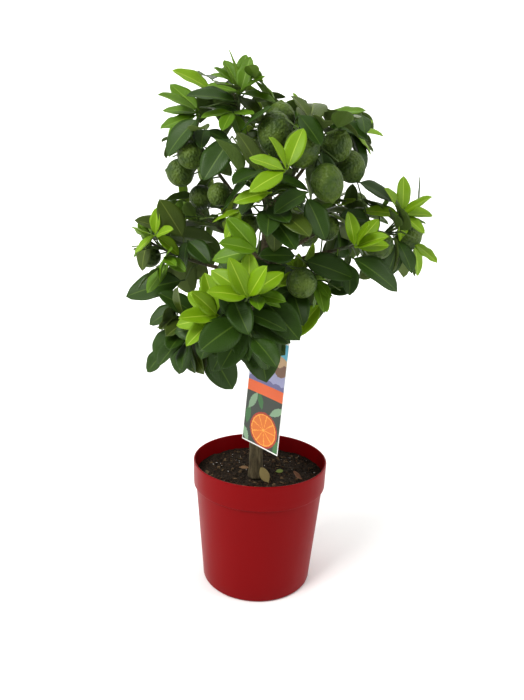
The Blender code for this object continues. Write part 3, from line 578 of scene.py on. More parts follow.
    def spray(self, foot, first, last, count, length, lean, young):
        """A fan of leaves at a twig's end, as it shows from the front."""
        foot = metres(foot)
        path = self.clear_twig(foot)
        if path is None:
            return
        self.add_twig(path)
        back = (path[-2] - path[-1]).normalized()
        for i in range(count):
            share = i / (count - 1) if count > 1 else 0.5
            spread = 22.0 if count > 1 else 0.0
            angle = first + (last - first) * share + self.rng.uniform(-4, 4)
            tilt = lean + spread * (1 if i % 2 else -1) + self.rng.uniform(-6, 6)
            base = foot + back * (MM * (0.4 + 1.7 * (i % 4)))
            size = length * self.rng.uniform(0.92, 1.08)
            width = YOUNG_WIDTH if young else MATURE_WIDTH
            droop = self.rng.uniform(0.05, 0.18) if young else self.rng.uniform(0.10, 0.26)
            tries = []
            for shift, lift in SPRAY_TRIES:
                direction = fan_direction(angle + shift, tilt + lift)
                face = Vector((0, -0.75, 0.55)) + self.face(direction, base) * 0.35
                tries.append(leaf(base, direction, face, size, width, droop))
            self.add_leaf(tries, shown=True)

    def fill(self, number, total, low=0.55, high=0.85):
        """One twig of the mass's own rule, its leaves set round it by the golden turn."""
        rng = self.rng
        height = 1 - 2 * (number + 0.5) / total
        turn = number * GOLDEN_TURN + rng.uniform(0, 0.8)
        flat = math.sqrt(1 - height * height)
        out = (self.middle - metres((0, 0, 500))).normalized()
        around = Vector((flat * math.cos(turn), flat * math.sin(turn), height * 0.8))
        way = (around + out * 0.45).normalized()
        young = rng.random() < 0.28 and way.z > -0.2
        reach = self.size * rng.uniform(low, high)
        taken = self.taken()
        for attempt in range(8):
            tip = self.middle + way * reach
            path = self.twig_to(tip)
            radii = taper(TWIG_RADIUS + TWIG_CLEARANCE, TWIG_TIP_RADIUS + TWIG_CLEARANCE, len(path))
            if (
                inside(self.name, tip)
                and in_outline(tip)
                and free(swept(path[1:], radii[1:], 3), self.hard + self.soft)
                and free(swept(path, radii, 3), self.walls + taken)
            ):
                self.add_twig(path)
                self.dress(path, 5 if young else rng.choice((4, 5)), young)
                return
            way = (way + self.any_way() * 0.5).normalized()
            reach *= 0.93

    def dress(self, path, count, young):
        """Leaves along a twig, closer and more upright towards its tip."""
        rng = self.rng
        turn = rng.uniform(0, 2 * math.pi)
        first = 0.80 if young else 0.45
        for i in range(count):
            share = i / (count - 1)
            place_at = (first + (0.99 - first) * share) * (len(path) - 1)
            step = min(int(place_at), len(path) - 2)
            foot = path[step].lerp(path[step + 1], place_at - step)
            axis = (path[step + 1] - path[step]).normalized()
            opening = math.radians(72 - 34 * share + rng.uniform(-8, 8))
            length = (YOUNG_LENGTH if young else MATURE_LENGTH) * rng.uniform(0.72, 1.08)
            length *= 1 - 0.22 * share
            width = (YOUNG_WIDTH if young else MATURE_WIDTH) * rng.uniform(0.9, 1.08)
            droop = rng.uniform(0.05, 0.2) if young else rng.uniform(0.1, 0.3)
            tries = []
            for swing in (0, 35, -35, 70, -70, 110):
                around = Matrix.Rotation(turn + i * GOLDEN_TURN + math.radians(swing), 3, axis)
                radial = around @ axis.orthogonal().normalized()
                direction = axis * math.cos(opening) + radial * math.sin(opening)
                direction.z -= 0.12 if young else 0.40
                direction.normalize()
                tries.append(leaf(foot, direction, self.face(direction, foot), length, width, droop))
            self.add_leaf(tries)


def pot_inside(height):
    """The pot's inner radius at a height."""
    step = POT_HEIGHT - POT_BAND_HEIGHT
    if height >= step + POT_WALL:
        share = (height - step) / POT_BAND_HEIGHT
        return POT_BAND_RADIUS + (POT_MOUTH_RADIUS - POT_BAND_RADIUS) * share - POT_WALL
    return POT_BASE_RADIUS + (POT_BODY_RADIUS - POT_BASE_RADIUS) * height / step - POT_WALL


def grow_all(hard):
    """The source's growth, with a tint for each spray, and then the finer twigs."""
    masses = [Mass(name, hard) for name in MASSES]
    shades = {mass.name: random.Random(900 + i) for i, mass in enumerate(masses)}
    for mass in masses:
        mass.others = [other for other in masses if other is not mass]
        for owner, middle, width, length, aim in FRUIT:
            if owner == mass.name:
                mass.hang_fruit(metres(middle), width, length, aim)
    for mass in masses:
        for number, (owner, *row) in enumerate(SPRAYS):
            if owner == mass.name:
                mass.spray(*row)
                tint_new_leaves(mass, tint=SPRAY_TINTS[number])
    for mass in masses:
        for number in range(BACK_FRUIT.get(mass.name, 0)):
            mass.hang_back_fruit(number)
        total = MASSES[mass.name][3]
        for number in range(total):
            mass.fill(number, total)
            tint_new_leaves(mass, shades[mass.name])
    for mass in masses:
        more = FINE_TWIGS[mass.name]
        for number in range(more):
            mass.fill(number, more, low=0.20, high=0.62)
            tint_new_leaves(mass, shades[mass.name])
    return masses


def tint_new_leaves(mass, shades=None, tint=None):
    """Gives the leaves that have no tint yet the one of their spray, or a drawn one."""
    young, mature = (tint, tint) if tint else (shades.choice("LFF"), shades.choice("MMMO"))
    for blade in mass.leaves:
        if "tint" not in blade:
            blade["tint"] = young if blade["width"] < SLIM_LEAF * blade["length"] else mature


# Looks -------------------------------------------------------------------------------

# One letter for each row of SPRAYS: lime, fresh, mature or olive leaves
SPRAY_TINTS = "FFLMMF" "FMMM" "LFLM" "M" "LLMM" "LMMLLMMM" "LOFMOM" "F" "LLMMM" "MMMMM" "MMLLMMM"
FINE_TWIGS = {
    "top": 6, "upper_left": 7, "upper_front": 6, "upper_right": 6, "right": 7, "left": 7,
    "front": 8, "lower_right": 8, "lower_front": 5, "lower_left": 6, "back_left": 9,
    "back_right": 9, "back_top": 8, "back_low": 8,
}
FOLIAGE_NODES = ["foliage_" + name for name in MASSES]
SLIM_LEAF = 0.495  # a leaf slimmer than this share of its length is a young one

# Leaf shape: the stalk's share of the length, then thicknesses in metres
PETIOLE = 0.10
SHELL = 0.00034
STALK_THICKNESS = 0.0006
RIB_ABOVE, RIB_BELOW = 0.00005, 0.0007
STALK_HALF_WIDTH = 0.0006
VEIN_TURNS = 62.0
VEIN_SLANT = 0.62

# Base colours, linear: blade, midrib and underside of each tint
TINTS = {
    "lime": ((0.185, 0.312, 0.006), (0.34, 0.46, 0.05), (0.26, 0.38, 0.04)),
    "fresh": ((0.105, 0.205, 0.006), (0.20, 0.31, 0.04), (0.18, 0.29, 0.04)),
    "mature": ((0.030, 0.068, 0.006), (0.075, 0.130, 0.018), (0.085, 0.135, 0.025)),
    "olive": ((0.062, 0.095, 0.010), (0.13, 0.17, 0.03), (0.12, 0.17, 0.04)),
}


# Helpers: choosing, materials and pieces

def choose(*things):
    """Selects these alone, with the first one active."""
    bpy.ops.object.select_all(action="DESELECT")
    for thing in things:
        thing.select_set(True)
    if things:
        bpy.context.view_layer.objects.active = things[0]


def active():
    return bpy.context.view_layer.objects.active


def apply_all(thing):
    choose(thing)
    for modifier in list(thing.modifiers):
        bpy.ops.object.modifier_apply(modifier=modifier.name)


def finish_of(name, colour, roughness, specular=0.5):
    """A material and its shader, with the plain colour set on the shader itself."""
    made = bpy.data.materials.new(name)
    made.use_nodes = True
    shader = made.node_tree.nodes["Principled BSDF"]
    shader.inputs["Base Color"].default_value = (*colour, 1.0)
    shader.inputs["Roughness"].default_value = roughness
    shader.inputs["Specular IOR Level"].default_value = specular
    return made, made.node_tree, shader


def link(tree, a, out, b, into):
    tree.links.new(a.outputs[out], b.inputs[into])


def coordinates(tree, stretch=(1.0, 1.0, 1.0), kind="Object"):
    source = tree.nodes.new("ShaderNodeTexCoord")
    mapping = tree.nodes.new("ShaderNodeMapping")
    mapping.inputs["Scale"].default_value = stretch
    link(tree, source, kind, mapping, "Vector")
    return mapping


def noise_node(tree, mapping, scale, detail=3.0, rough=0.55):
    node = tree.nodes.new("ShaderNodeTexNoise")
    node.inputs["Scale"].default_value = scale
    node.inputs["Detail"].default_value = detail
    node.inputs["Roughness"].default_value = rough
    link(tree, mapping, "Vector", node, "Vector")
    return node


def maths(tree, operation, *values):
    """A maths node. Each value is a number, or a pair of a node and its output."""
    node = tree.nodes.new("ShaderNodeMath")
    node.operation = operation
    for i, value in enumerate(values):
        if isinstance(value, tuple):
            tree.links.new(value[0].outputs[value[1]], node.inputs[i])
        else:
            node.inputs[i].default_value = value
    return node


def colour_by(tree, shader, node, stops):
    """Colours a finish by a noise, between the stops of a ramp."""
    made = tree.nodes.new("ShaderNodeValToRGB")
    while len(made.color_ramp.elements) < len(stops):
        made.color_ramp.elements.new(0.5)
    for element, (place_at, colour) in zip(made.color_ramp.elements, stops):
        element.position = place_at
        element.color = (*colour, 1.0)
    link(tree, node, "Fac", made, "Fac")
    link(tree, made, "Color", shader, "Base Color")


def bump(tree, shader, node, out, strength, distance, before=None):
    made = tree.nodes.new("ShaderNodeBump")
    made.inputs["Strength"].default_value = strength
    made.inputs["Distance"].default_value = distance
    link(tree, node, out, made, "Height")
    if before:
        link(tree, before, "Normal", made, "Normal")
    link(tree, made, "Normal", shader, "Normal")
    return made


def grained(name, colour, roughness, scale, strength, distance, specular=0.5, stretch=(1, 1, 1)):
    """A plain finish with a fine grain on it."""
    finish, tree, shader = finish_of(name, colour, roughness, specular)
    grain = noise_node(tree, coordinates(tree, stretch), scale)
    bump(tree, shader, grain, "Fac", strength, distance)
    return finish


def put(thing, slot, *nodes):
    """Hands a finished piece over: it rides on the part and stands for these nodes."""
    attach(thing, "root")
    if nodes:
        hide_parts(*nodes)


def piece_from(name, corners, faces, materials, indexes=None, uv=None, smooth=True):
    mesh = bpy.data.meshes.new(name)
    mesh.from_pydata(np.array(corners).tolist(), [], faces)
    for finish in materials:
        mesh.materials.append(finish)
    if indexes is not None:
        mesh.polygons.foreach_set("material_index", indexes)
    if uv is not None:
        layer = mesh.uv_layers.new(name="UVMap")
        layer.data.foreach_set("uv", uv.ravel())
    if smooth:
        mesh.shade_smooth()
    mesh.update()
    thing = bpy.data.objects.new(name, mesh)
    bpy.context.scene.collection.objects.link(thing)
    return thing


def joined(name, parts, materials, indexes=None, smooth=True):
    """One piece from many small ones, each a pair of corners and faces."""
    corners, faces, which = [], [], []
    total = 0
    for i, (own, own_faces) in enumerate(parts):
        corners.append(own)
        faces += [[total + k for k in face] for face in own_faces]
        which += [indexes[i] if indexes else 0] * len(own_faces)
        total += len(own)
    return piece_from(name, np.concatenate(corners), faces, materials, which, smooth=smooth)


def template(thing):
    """A modelled piece as arrays of corners and faces. The piece is taken away."""
    corners = np.array([v.co for v in thing.data.vertices], dtype=float)
    faces = [list(p.vertices) for p in thing.data.polygons]
    bpy.data.objects.remove(thing)
    return corners, faces


def arrays_of(bm):
    bm.verts.index_update()
    corners = np.array([v.co for v in bm.verts])
    faces = [[v.index for v in f.verts] for f in bm.faces]
    bm.free()
    return corners, faces


def round_row(radius, height, sides):
    """Corners evenly round the upright axis."""
    turns = [2 * math.pi * k / sides for k in range(sides)]
    return [(radius * math.cos(turn), radius * math.sin(turn), height) for turn in turns]


def between(a, b, sides):
    """Faces from one ring of corners to the next, by the number of each ring's first."""
    return [[a + k, a + (k + 1) % sides, b + (k + 1) % sides, b + k] for k in range(sides)]


# Leaves ------------------------------------------------------------------------------

def leaf_materials(name):
    blade, rib, under = TINTS[name]
    made = []
    for part, colour, roughness, ridge in (
        ("blade", blade, 0.36, 0.35), ("midrib", rib, 0.45, 0.05), ("underside", under, 0.55, 0.35),
    ):
        finish, tree, shader = finish_of(name + " leaf " + part, colour, roughness, specular=0.27)
        split = tree.nodes.new("ShaderNodeSeparateXYZ")
        link(tree, coordinates(tree, kind="UV"), "Vector", split, "Vector")
        middle = maths(tree, "SUBTRACT", (split, "X"), 0.5)
        aside = maths(tree, "ABSOLUTE", (middle, "Value"))
        slant = maths(tree, "MULTIPLY", (aside, "Value"), VEIN_SLANT)
        row = maths(tree, "SUBTRACT", (split, "Y"), (slant, "Value"))
        turns = maths(tree, "MULTIPLY", (row, "Value"), VEIN_TURNS)
        wave = maths(tree, "SINE", (turns, "Value"))
        sharp = maths(tree, "POWER", (maths(tree, "ABSOLUTE", (wave, "Value")), "Value"), 0.4)
        veins = bump(tree, shader, sharp, "Value", ridge, 0.0005)
        grain = noise_node(tree, coordinates(tree), 420.0)
        bump(tree, shader, grain, "Fac", 0.25, 0.0004, veins)
        spots = noise_node(tree, coordinates(tree), 35.0)
        dull = maths(tree, "MULTIPLY_ADD", (spots, "Fac"), 0.25, roughness - 0.12)
        link(tree, dull, "Value", shader, "Roughness")
        made.append(finish)
    return made


def leaf_template():
    """One flat blade with a thin midrib strip: a grid made a closed shell."""
    choose()
    bpy.ops.mesh.primitive_grid_add(x_subdivisions=7, y_subdivisions=13, size=2.0)
    blade = active()
    shell = blade.modifiers.new("shell", "SOLIDIFY")
    shell.thickness = 1.0
    shell.offset = 0.0
    apply_all(blade)
    corners, faces = template(blade)
    faces = np.array(faces)
    centre = corners[faces].mean(axis=1)
    on_rib = (np.abs(centre[:, 0]) < 0.1) & (centre[:, 2] > 0.1)
    kinds = np.where(centre[:, 2] < -0.1, 2, np.where(on_rib, 1, 0))
    across = corners[:, 0].copy()
    across[np.abs(across) < 0.2] *= 0.36
    along = (corners[:, 1] + 1) / 2
    uv = np.stack([0.5 + 0.5 * across, along], axis=1)[faces].reshape(-1, 2)
    return across, along, np.sign(corners[:, 2]), faces, kinds, uv


def shaped(blade, across, along, side, rng):
    """The corners of one leaf: stalk, pointed blade, fold, droop and a waved edge."""
    length, width = blade["length"], blade["width"]
    q = np.clip((along - PETIOLE) / (1 - PETIOLE), 0, 1)
    outline = (4 * q * (1 - q)) ** 0.66 * (1 + 0.22 * (0.45 - q))
    half = np.maximum(outline * width / 2 * 1.02, STALK_HALF_WIDTH * (1 - 0.6 * along))
    fold = LEAF_FOLD * rng.uniform(0.5, 1.9)
    cup = rng.uniform(-0.10, 0.16)
    wave = length * rng.uniform(0.004, 0.022)
    phase = rng.uniform(0, 6.28)
    number = rng.uniform(1.5, 2.6)
    out = across * half
    rise = fold * np.abs(out) - cup * out * out / (width / 2)
    edge = np.sin(6.28 * number * q + phase + (across > 0) * 1.9)
    rise += wave * edge * across * across * outline
    rise -= blade["droop"] * length * along ** 2
    bend_aside = rng.uniform(-0.05, 0.05) * length * along ** 2
    rib = np.where(side < 0, RIB_BELOW, RIB_ABOVE)
    thick = np.where(np.abs(across) < 0.1, rib, SHELL / 2)
    rise += side * np.where(along < PETIOLE, STALK_THICKNESS, thick)
    foot, a, s, u = (np.array(blade[k]) for k in ("foot", "along", "side", "up"))
    return foot + np.outer(length * along, a) + np.outer(out + bend_aside, s) + np.outer(rise, u)


def make_leaves(masses):
    across, along, side, faces, kinds, uv = leaf_template()
    for name in TINTS:
        rng = random.Random(50)
        tint = name[0].upper()
        blades = [b for mass in masses for b in mass.leaves if b["tint"] == tint]
        parts = [shaped(b, across, along, side, rng) for b in blades]
        count = len(blades)
        shifts = (np.arange(count) * len(across))[:, None, None]
        piece = piece_from(
            "leaves_" + name,
            np.concatenate(parts),
            (faces[None] + shifts).reshape(-1, 4).tolist(),
            leaf_materials(name),
            np.tile(kinds, count),
            np.tile(uv, (count, 1)),
        )
        put(piece, "foliage", *FOLIAGE_NODES)


# Twigs, trunk and boughs -------------------------------------------------------------

def twig_material(name, colour):
    return grained(name, colour, 0.6, 500.0, 0.5, 0.0004, stretch=(1, 1, 0.3))


def make_twigs(masses):
    parts, which = [], []
    for mass in masses:
        parts.append(arrays_of(swept(mass.stem, mass.stem_radii, 8)))
        which.append(0)
        for path, radii in mass.twigs:
            slimmer = [r * 0.92 for r in radii]
            parts.append(arrays_of(swept(path, slimmer, 6)))
            which.append(1)
    olive = twig_material("stem bark", (0.085, 0.085, 0.035))
    green = twig_material("green twig", (0.085, 0.13, 0.03))
    put(joined("twigs", parts, [olive, green], which), "foliage", *FOLIAGE_NODES)


def finer(path, radii, step=0.004):
    """The same path with stations closer than step, on a smooth curve through them."""
    points, sizes = [], []
    for i in range(len(path) - 1):
        a, b = path[i], path[i + 1]
        before = path[i - 1] if i else a * 2 - b
        after = path[i + 2] if i + 2 < len(path) else b * 2 - a
        count = max(2, int((b - a).length / step))
        for k in range(count):
            t = k / count
            points.append(
                0.5 * (2 * a + (b - before) * t + (2 * before - 5 * a + 4 * b - after) * t * t
                       + (3 * a - before - 3 * b + after) * t ** 3)
            )
            sizes.append(radii[i] + (radii[i + 1] - radii[i]) * t)
    return points + [path[-1].copy()], sizes + [radii[-1]]


def limb(name, path, radii, resolution):
    """A round limb drawn as a curve, then made a mesh."""
    data = bpy.data.curves.new(name, "CURVE")
    data.dimensions = "3D"
    data.bevel_depth = MM
    data.bevel_resolution = resolution
    data.use_fill_caps = True
    spline = data.splines.new("POLY")
    spline.points.add(len(path) - 1)
    for point, co, radius in zip(spline.points, path, radii):
        point.co = (*co, 1.0)
        point.radius = radius / MM
    curve = bpy.data.objects.new(name, data)
    bpy.context.scene.collection.objects.link(curve)
    choose(curve)
    bpy.ops.object.convert(target="MESH")
    bpy.ops.object.mode_set(mode="EDIT")
    bpy.ops.mesh.select_all(action="SELECT")
    bpy.ops.mesh.remove_doubles(threshold=1e-6)
    bpy.ops.mesh.normals_make_consistent(inside=False)
    bpy.ops.object.mode_set(mode="OBJECT")
    return active()


def bark_material():
    finish, tree, shader = finish_of("bark", (0.105, 0.085, 0.045), 0.85)
    streaks = noise_node(tree, coordinates(tree, (1.0, 1.0, 0.22)), 260.0, 5.0, 0.6)
    colour_by(tree, shader, streaks, [
        (0.30, (0.050, 0.040, 0.020)), (0.48, (0.100, 0.080, 0.040)), (0.70, (0.185, 0.155, 0.085)),
    ])
    rough = bump(tree, shader, streaks, "Fac", 0.8, 0.0012)
    fine = noise_node(tree, coordinates(tree, (1.0, 1.0, 0.5)), 900.0)
    bump(tree, shader, fine, "Fac", 0.4, 0.0005, rough)
    return finish


def make_limbs():
    limbs = [limb("trunk wood", *finer(*trunk_path()), 10)]
    for name in MASSES:
        path, radii = finer(*bough_path(name))
        reach = radii[0] * 2.2
        collar = [1 + 0.35 * math.exp(-((p - path[0]).length / reach) ** 2) for p in path]
        limbs.append(limb("bough wood", path, [r * c for r, c in zip(radii, collar)], 5))
    choose(*limbs)
    bpy.ops.object.join()
    wood = active()
    wood.name = wood.data.name = "bark_limbs"
    for size, strength in ((0.020, 0.0016), (0.0045, 0.0009)):
        texture = bpy.data.textures.new("bark relief", "CLOUDS")
        texture.noise_scale = size
        relief = wood.modifiers.new("relief", "DISPLACE")
        relief.texture = texture
        relief.texture_coords = "LOCAL"
        relief.strength = strength
        relief.mid_level = 0.55
    apply_all(wood)
    wood.data.materials.clear()
    wood.data.materials.append(bark_material())
    wood.data.shade_smooth()
    put(wood, "bark", "trunk", *["bough_" + name for name in MASSES])


# Fruit -------------------------------------------------------------------------------

CALYX_RADIUS = 0.0036


def fruit_material():
    finish, tree, shader = finish_of("green rind", (0.065, 0.110, 0.020), 0.46, specular=0.35)
    rind = coordinates(tree)
    patches = noise_node(tree, rind, 60.0, 2.0)
    colour_by(tree, shader, patches, [(0.35, (0.040, 0.076, 0.010)), (0.65, (0.098, 0.150, 0.018))])
    cells = tree.nodes.new("ShaderNodeTexVoronoi")
    cells.feature = "SMOOTH_F1"
    cells.inputs["Scale"].default_value = 330.0
    cells.inputs["Smoothness"].default_value = 0.6
    link(tree, rind, "Vector", cells, "Vector")
    pebbles = bump(tree, shader, cells, "Distance", 1.0, -0.0015)
    bump(tree, shader, noise_node(tree, rind, 330.0), "Fac", 0.6, 0.0010, pebbles)
    return finish


def calyx_template():
    """The small star that holds the fruit on its stalk."""
    choose()
    bpy.ops.mesh.primitive_cylinder_add(vertices=10, radius=1.0, depth=0.35)
    star = active()
    bpy.ops.object.mode_set(mode="EDIT")
    bpy.ops.mesh.select_all(action="SELECT")
    bpy.ops.mesh.bevel(offset=0.06, segments=2, affect="EDGES")
    bpy.ops.object.mode_set(mode="OBJECT")
    corners, faces = template(star)
    turn = np.arctan2(corners[:, 1], corners[:, 0])
    corners[:, :2] *= (0.78 + 0.28 * np.cos(5 * turn))[:, None]
    return corners, faces


def make_fruit(masses):
    """Round fruit, dented at the stalk, with lumps and a nipple at the free end."""
    choose()
    bpy.ops.mesh.primitive_uv_sphere_add(segments=40, ring_count=28, radius=1.0)
    ball, ball_faces = template(active())
    star, star_faces = calyx_template()
    angle = np.arccos(np.clip(ball[:, 2], -1, 1))
    nipple = 0.10 * np.exp(-(angle / 0.17) ** 2)
    dent = 0.05 * np.exp(-((math.pi - angle) / 0.3) ** 2)
    reach = ball[:, 2] * 0.95 + nipple + dent
    narrowing = (1 - 0.05 * ball[:, 2]) * (1 - 0.28 * np.exp(-(angle / 0.30) ** 2))
    fruit_parts, star_parts = [], []
    for number, fruit in enumerate(f for mass in masses for f in mass.fruit):
        side, across, aim = (np.array(v) for v in fruit_axes(fruit))
        middle = np.array(fruit["middle"])
        tall = fruit["length"] / 2
        shift = Vector((number * 7.3, 0, 0))
        lumps = np.array([noise.noise(Vector(v) * 2.4 + shift) for v in ball])
        wide = fruit["width"] / 2 * (1.0 + 0.018 * lumps) * narrowing
        fruit_parts.append((
            middle + np.outer(ball[:, 0] * wide, side) + np.outer(ball[:, 1] * wide, across)
            + np.outer(reach * tall, aim), ball_faces))
        axes = np.array([side, across, aim])
        star_parts.append((middle - aim * tall * 0.91 + star @ axes * CALYX_RADIUS, star_faces))
    put(joined("fruit", fruit_parts, [fruit_material()]), "foliage", *FOLIAGE_NODES)
    calyx = twig_material("calyx", (0.10, 0.13, 0.04))
    put(joined("fruit_calyxes", star_parts, [calyx]), "foliage", *FOLIAGE_NODES)


# Pot and soil ------------------------------------------------------------------------

POT_BAND_FOOT = POT_HEIGHT - POT_BAND_HEIGHT
POT_TURN_STEPS = 144


def arc(cx, cz, radius, first, last, steps):
    points = []
    for i in range(steps + 1):
        turn = math.radians(first + (last - first) * i / steps)
        points.append((cx + radius * math.cos(turn), cz + radius * math.sin(turn)))
    return points


def pot_material():
    finish, tree, shader = finish_of("pot red", (0.225, 0.0008, 0.0025), 0.28, specular=0.13)
    flow = noise_node(tree, coordinates(tree, (1.0, 1.0, 0.12)), 38.0, 2.0)
    waves = bump(tree, shader, flow, "Fac", 0.20, 0.002)
    bump(tree, shader, noise_node(tree, coordinates(tree), 700.0), "Fac", 0.10, 0.0003, waves)
    link(tree, maths(tree, "MULTIPLY_ADD", (flow, "Fac"), 0.22, 0.24), "Value", shader, "Roughness")
    return finish


def pot_outline():
    """The pot's section in millimetres: from under its middle, up its outside and back in."""
    foot, body, lip = POT_BASE_RADIUS, POT_BODY_RADIUS, POT_WALL / 2
    step = POT_BAND_FOOT
    return [
        (0.0, 0.6), (foot - 14, 0.6), (foot - 12.8, 0.0), (foot - 3.2, 0.0),
        *arc(foot - 3.0, 3.2, 3.2, -90, -6, 5),
        (foot + 1.6, 20.0), (body - 0.4, step - 5.0), (body, step - 0.8),
        *arc(POT_BAND_RADIUS - 1.4, step + 1.4, 1.4, -90, 0, 4),
        (POT_BAND_RADIUS + 0.3, step + 12.0), (POT_MOUTH_RADIUS - 0.1, POT_HEIGHT - 4.0),
        *arc(POT_MOUTH_RADIUS - lip, POT_HEIGHT - lip, lip, 0, 180, 8),
        (pot_inside(step + POT_WALL + 4), step + POT_WALL + 4),
        (pot_inside(step + POT_WALL), step + POT_WALL), (pot_inside(step), step),
        (pot_inside(POT_FLOOR), POT_FLOOR + 2.0), (pot_inside(POT_FLOOR) - 2.0, POT_FLOOR),
        (0.0, POT_FLOOR),
    ]


def make_pot():
    outline = pot_outline()
    mesh = bpy.data.meshes.new("pot_shell")
    edges = [(i, i + 1) for i in range(len(outline) - 1)]
    mesh.from_pydata([metres((r, 0, z)) for r, z in outline], edges, [])
    pot = bpy.data.objects.new("pot_shell", mesh)
    bpy.context.scene.collection.objects.link(pot)
    turn = pot.modifiers.new("turn", "SCREW")
    turn.steps = turn.render_steps = POT_TURN_STEPS
    turn.use_merge_vertices = True
    turn.merge_threshold = 0.00003
    apply_all(pot)
    for x, y, z in round_row(DRAIN_RING, POT_FLOOR / 2, DRAIN_HOLES):
        choose()
        bpy.ops.mesh.primitive_cylinder_add(vertices=24, radius=DRAIN_RADIUS * MM, depth=8 * MM)
        cutter = active()
        cutter.location = Matrix.Rotation(math.pi / DRAIN_HOLES, 3, "Z") @ metres((x, y, z))
        hole = pot.modifiers.new("hole", "BOOLEAN")
        hole.operation = "DIFFERENCE"
        hole.solver = "EXACT"
        hole.object = cutter
        apply_all(pot)
        bpy.data.objects.remove(cutter)
    pot.data.materials.clear()
    pot.data.materials.append(pot_material())
    choose(pot)
    bpy.ops.object.shade_smooth_by_angle(angle=math.radians(40))
    put(pot, "pot_plastic", "pot")


SOIL_RINGS, SOIL_SIDES = 62, 168
CRUMB_REACH = 90.0  # from the pot's middle, in millimetres
TRUNK_KEEP_OUT = 14.0
CRUMBS = (
    # name, how many, smallest and largest size in mm, flatness, dark and light colour
    ("soil_crumbs_dark", 900, 1.2, 3.8, 0.75, (0.010, 0.008, 0.005), (0.045, 0.030, 0.018)),
    ("soil_crumbs_brown", 420, 1.4, 4.6, 0.6, (0.045, 0.025, 0.013), (0.120, 0.070, 0.038)),
    ("soil_bark_chips", 120, 2.6, 8.0, 0.25, (0.070, 0.045, 0.022), (0.260, 0.180, 0.100)),
    ("soil_white_grains", 46, 0.9, 2.4, 0.8, (0.42, 0.41, 0.38), (0.75, 0.74, 0.70)),
)
LITTER = (
    # name, foot, direction, face, length, width, droop, colour
    ("litter_dry", (13, -42, 161), (-0.5, 0.25, 0.85), (0.45, -0.75, 0.5), 24, 0.62, 0.05,
     (0.24, 0.19, 0.07)),
    ("litter_curled", (60, -28, 162), (-0.8, 0.1, 0.35), (0.1, -0.5, 0.85), 17, 0.45, -0.45,
     (0.20, 0.10, 0.05)),
    ("litter_green", (23, -6, 162), (0.9, 0.1, 0.2), (0.0, -0.5, 0.85), 11, 0.6, 0.1,
     (0.17, 0.22, 0.05)),
    ("litter_pale", (7, -18, 162), (0.7, -0.4, 0.2), (0.0, -0.4, 0.9), 7, 0.7, 0.0,
     (0.30, 0.33, 0.07)),
    ("litter_tan", (-30, 4, 162), (0.9, -0.1, 0.15), (0.0, -0.5, 0.85), 14, 0.4, 0.2,
     (0.22, 0.13, 0.06)),
)


def soil_height(x, y):
    """The soil's surface in millimetres at a place in millimetres: rough, open crumbs."""
    p = Vector((x, y, 3.0))
    high = SOIL_LEVEL + SOIL_CROWN * (1 - (x * x + y * y) / 8100.0)
    high += 2.2 * noise.noise(p / 22.0) + 1.7 * noise.noise(p / 7.0) + 1.1 * noise.noise(p / 3.2)
    return high - 0.6


def soil_material(name, dark, light, scale):
    middle = [(a + b) / 2 for a, b in zip(dark, light)]
    finish, tree, shader = finish_of(name, middle, 0.95, specular=0.25)
    grain = noise_node(tree, coordinates(tree), scale, 4.0, 0.65)
    colour_by(tree, shader, grain, [(0.35, dark), (0.68, light)])
    bump(tree, shader, grain, "Fac", 0.9, 0.002)
    return finish


def make_soil():
    """The bed: a rough round surface, and a plain side and bottom inside the pot."""
    edge = pot_inside(SOIL_LEVEL) - GAP
    corners = [(0.0, 0.0, soil_height(0, 0))]
    for i in range(1, SOIL_RINGS + 1):
        for x, y, _ in round_row(edge * i / SOIL_RINGS, 0.0, SOIL_SIDES):
            corners.append((x, y, soil_height(x, y)))
    for inner, height in (
        (POT_BAND_FOOT + POT_WALL, POT_BAND_FOOT + POT_WALL + GAP),
        (POT_BAND_FOOT, POT_BAND_FOOT),
        (POT_FLOOR, POT_FLOOR + GAP),
    ):
        corners += round_row(pot_inside(inner) - GAP, height, SOIL_SIDES)
    faces = [[0, 1 + k, 1 + (k + 1) % SOIL_SIDES] for k in range(SOIL_SIDES)]
    for i in range(SOIL_RINGS + 2):
        a = 1 + i * SOIL_SIDES
        for ring in between(a, a + SOIL_SIDES, SOIL_SIDES):
            faces.append([ring[0], ring[3], ring[2], ring[1]])
    last = 1 + (SOIL_RINGS + 2) * SOIL_SIDES
    faces.append([last + k for k in reversed(range(SOIL_SIDES))])
    damp = soil_material("damp soil", (0.008, 0.006, 0.004), (0.060, 0.040, 0.024), 420.0)
    put(piece_from("soil_bed", np.array(corners) * MM, faces, [damp]), "potting_soil", "soil")


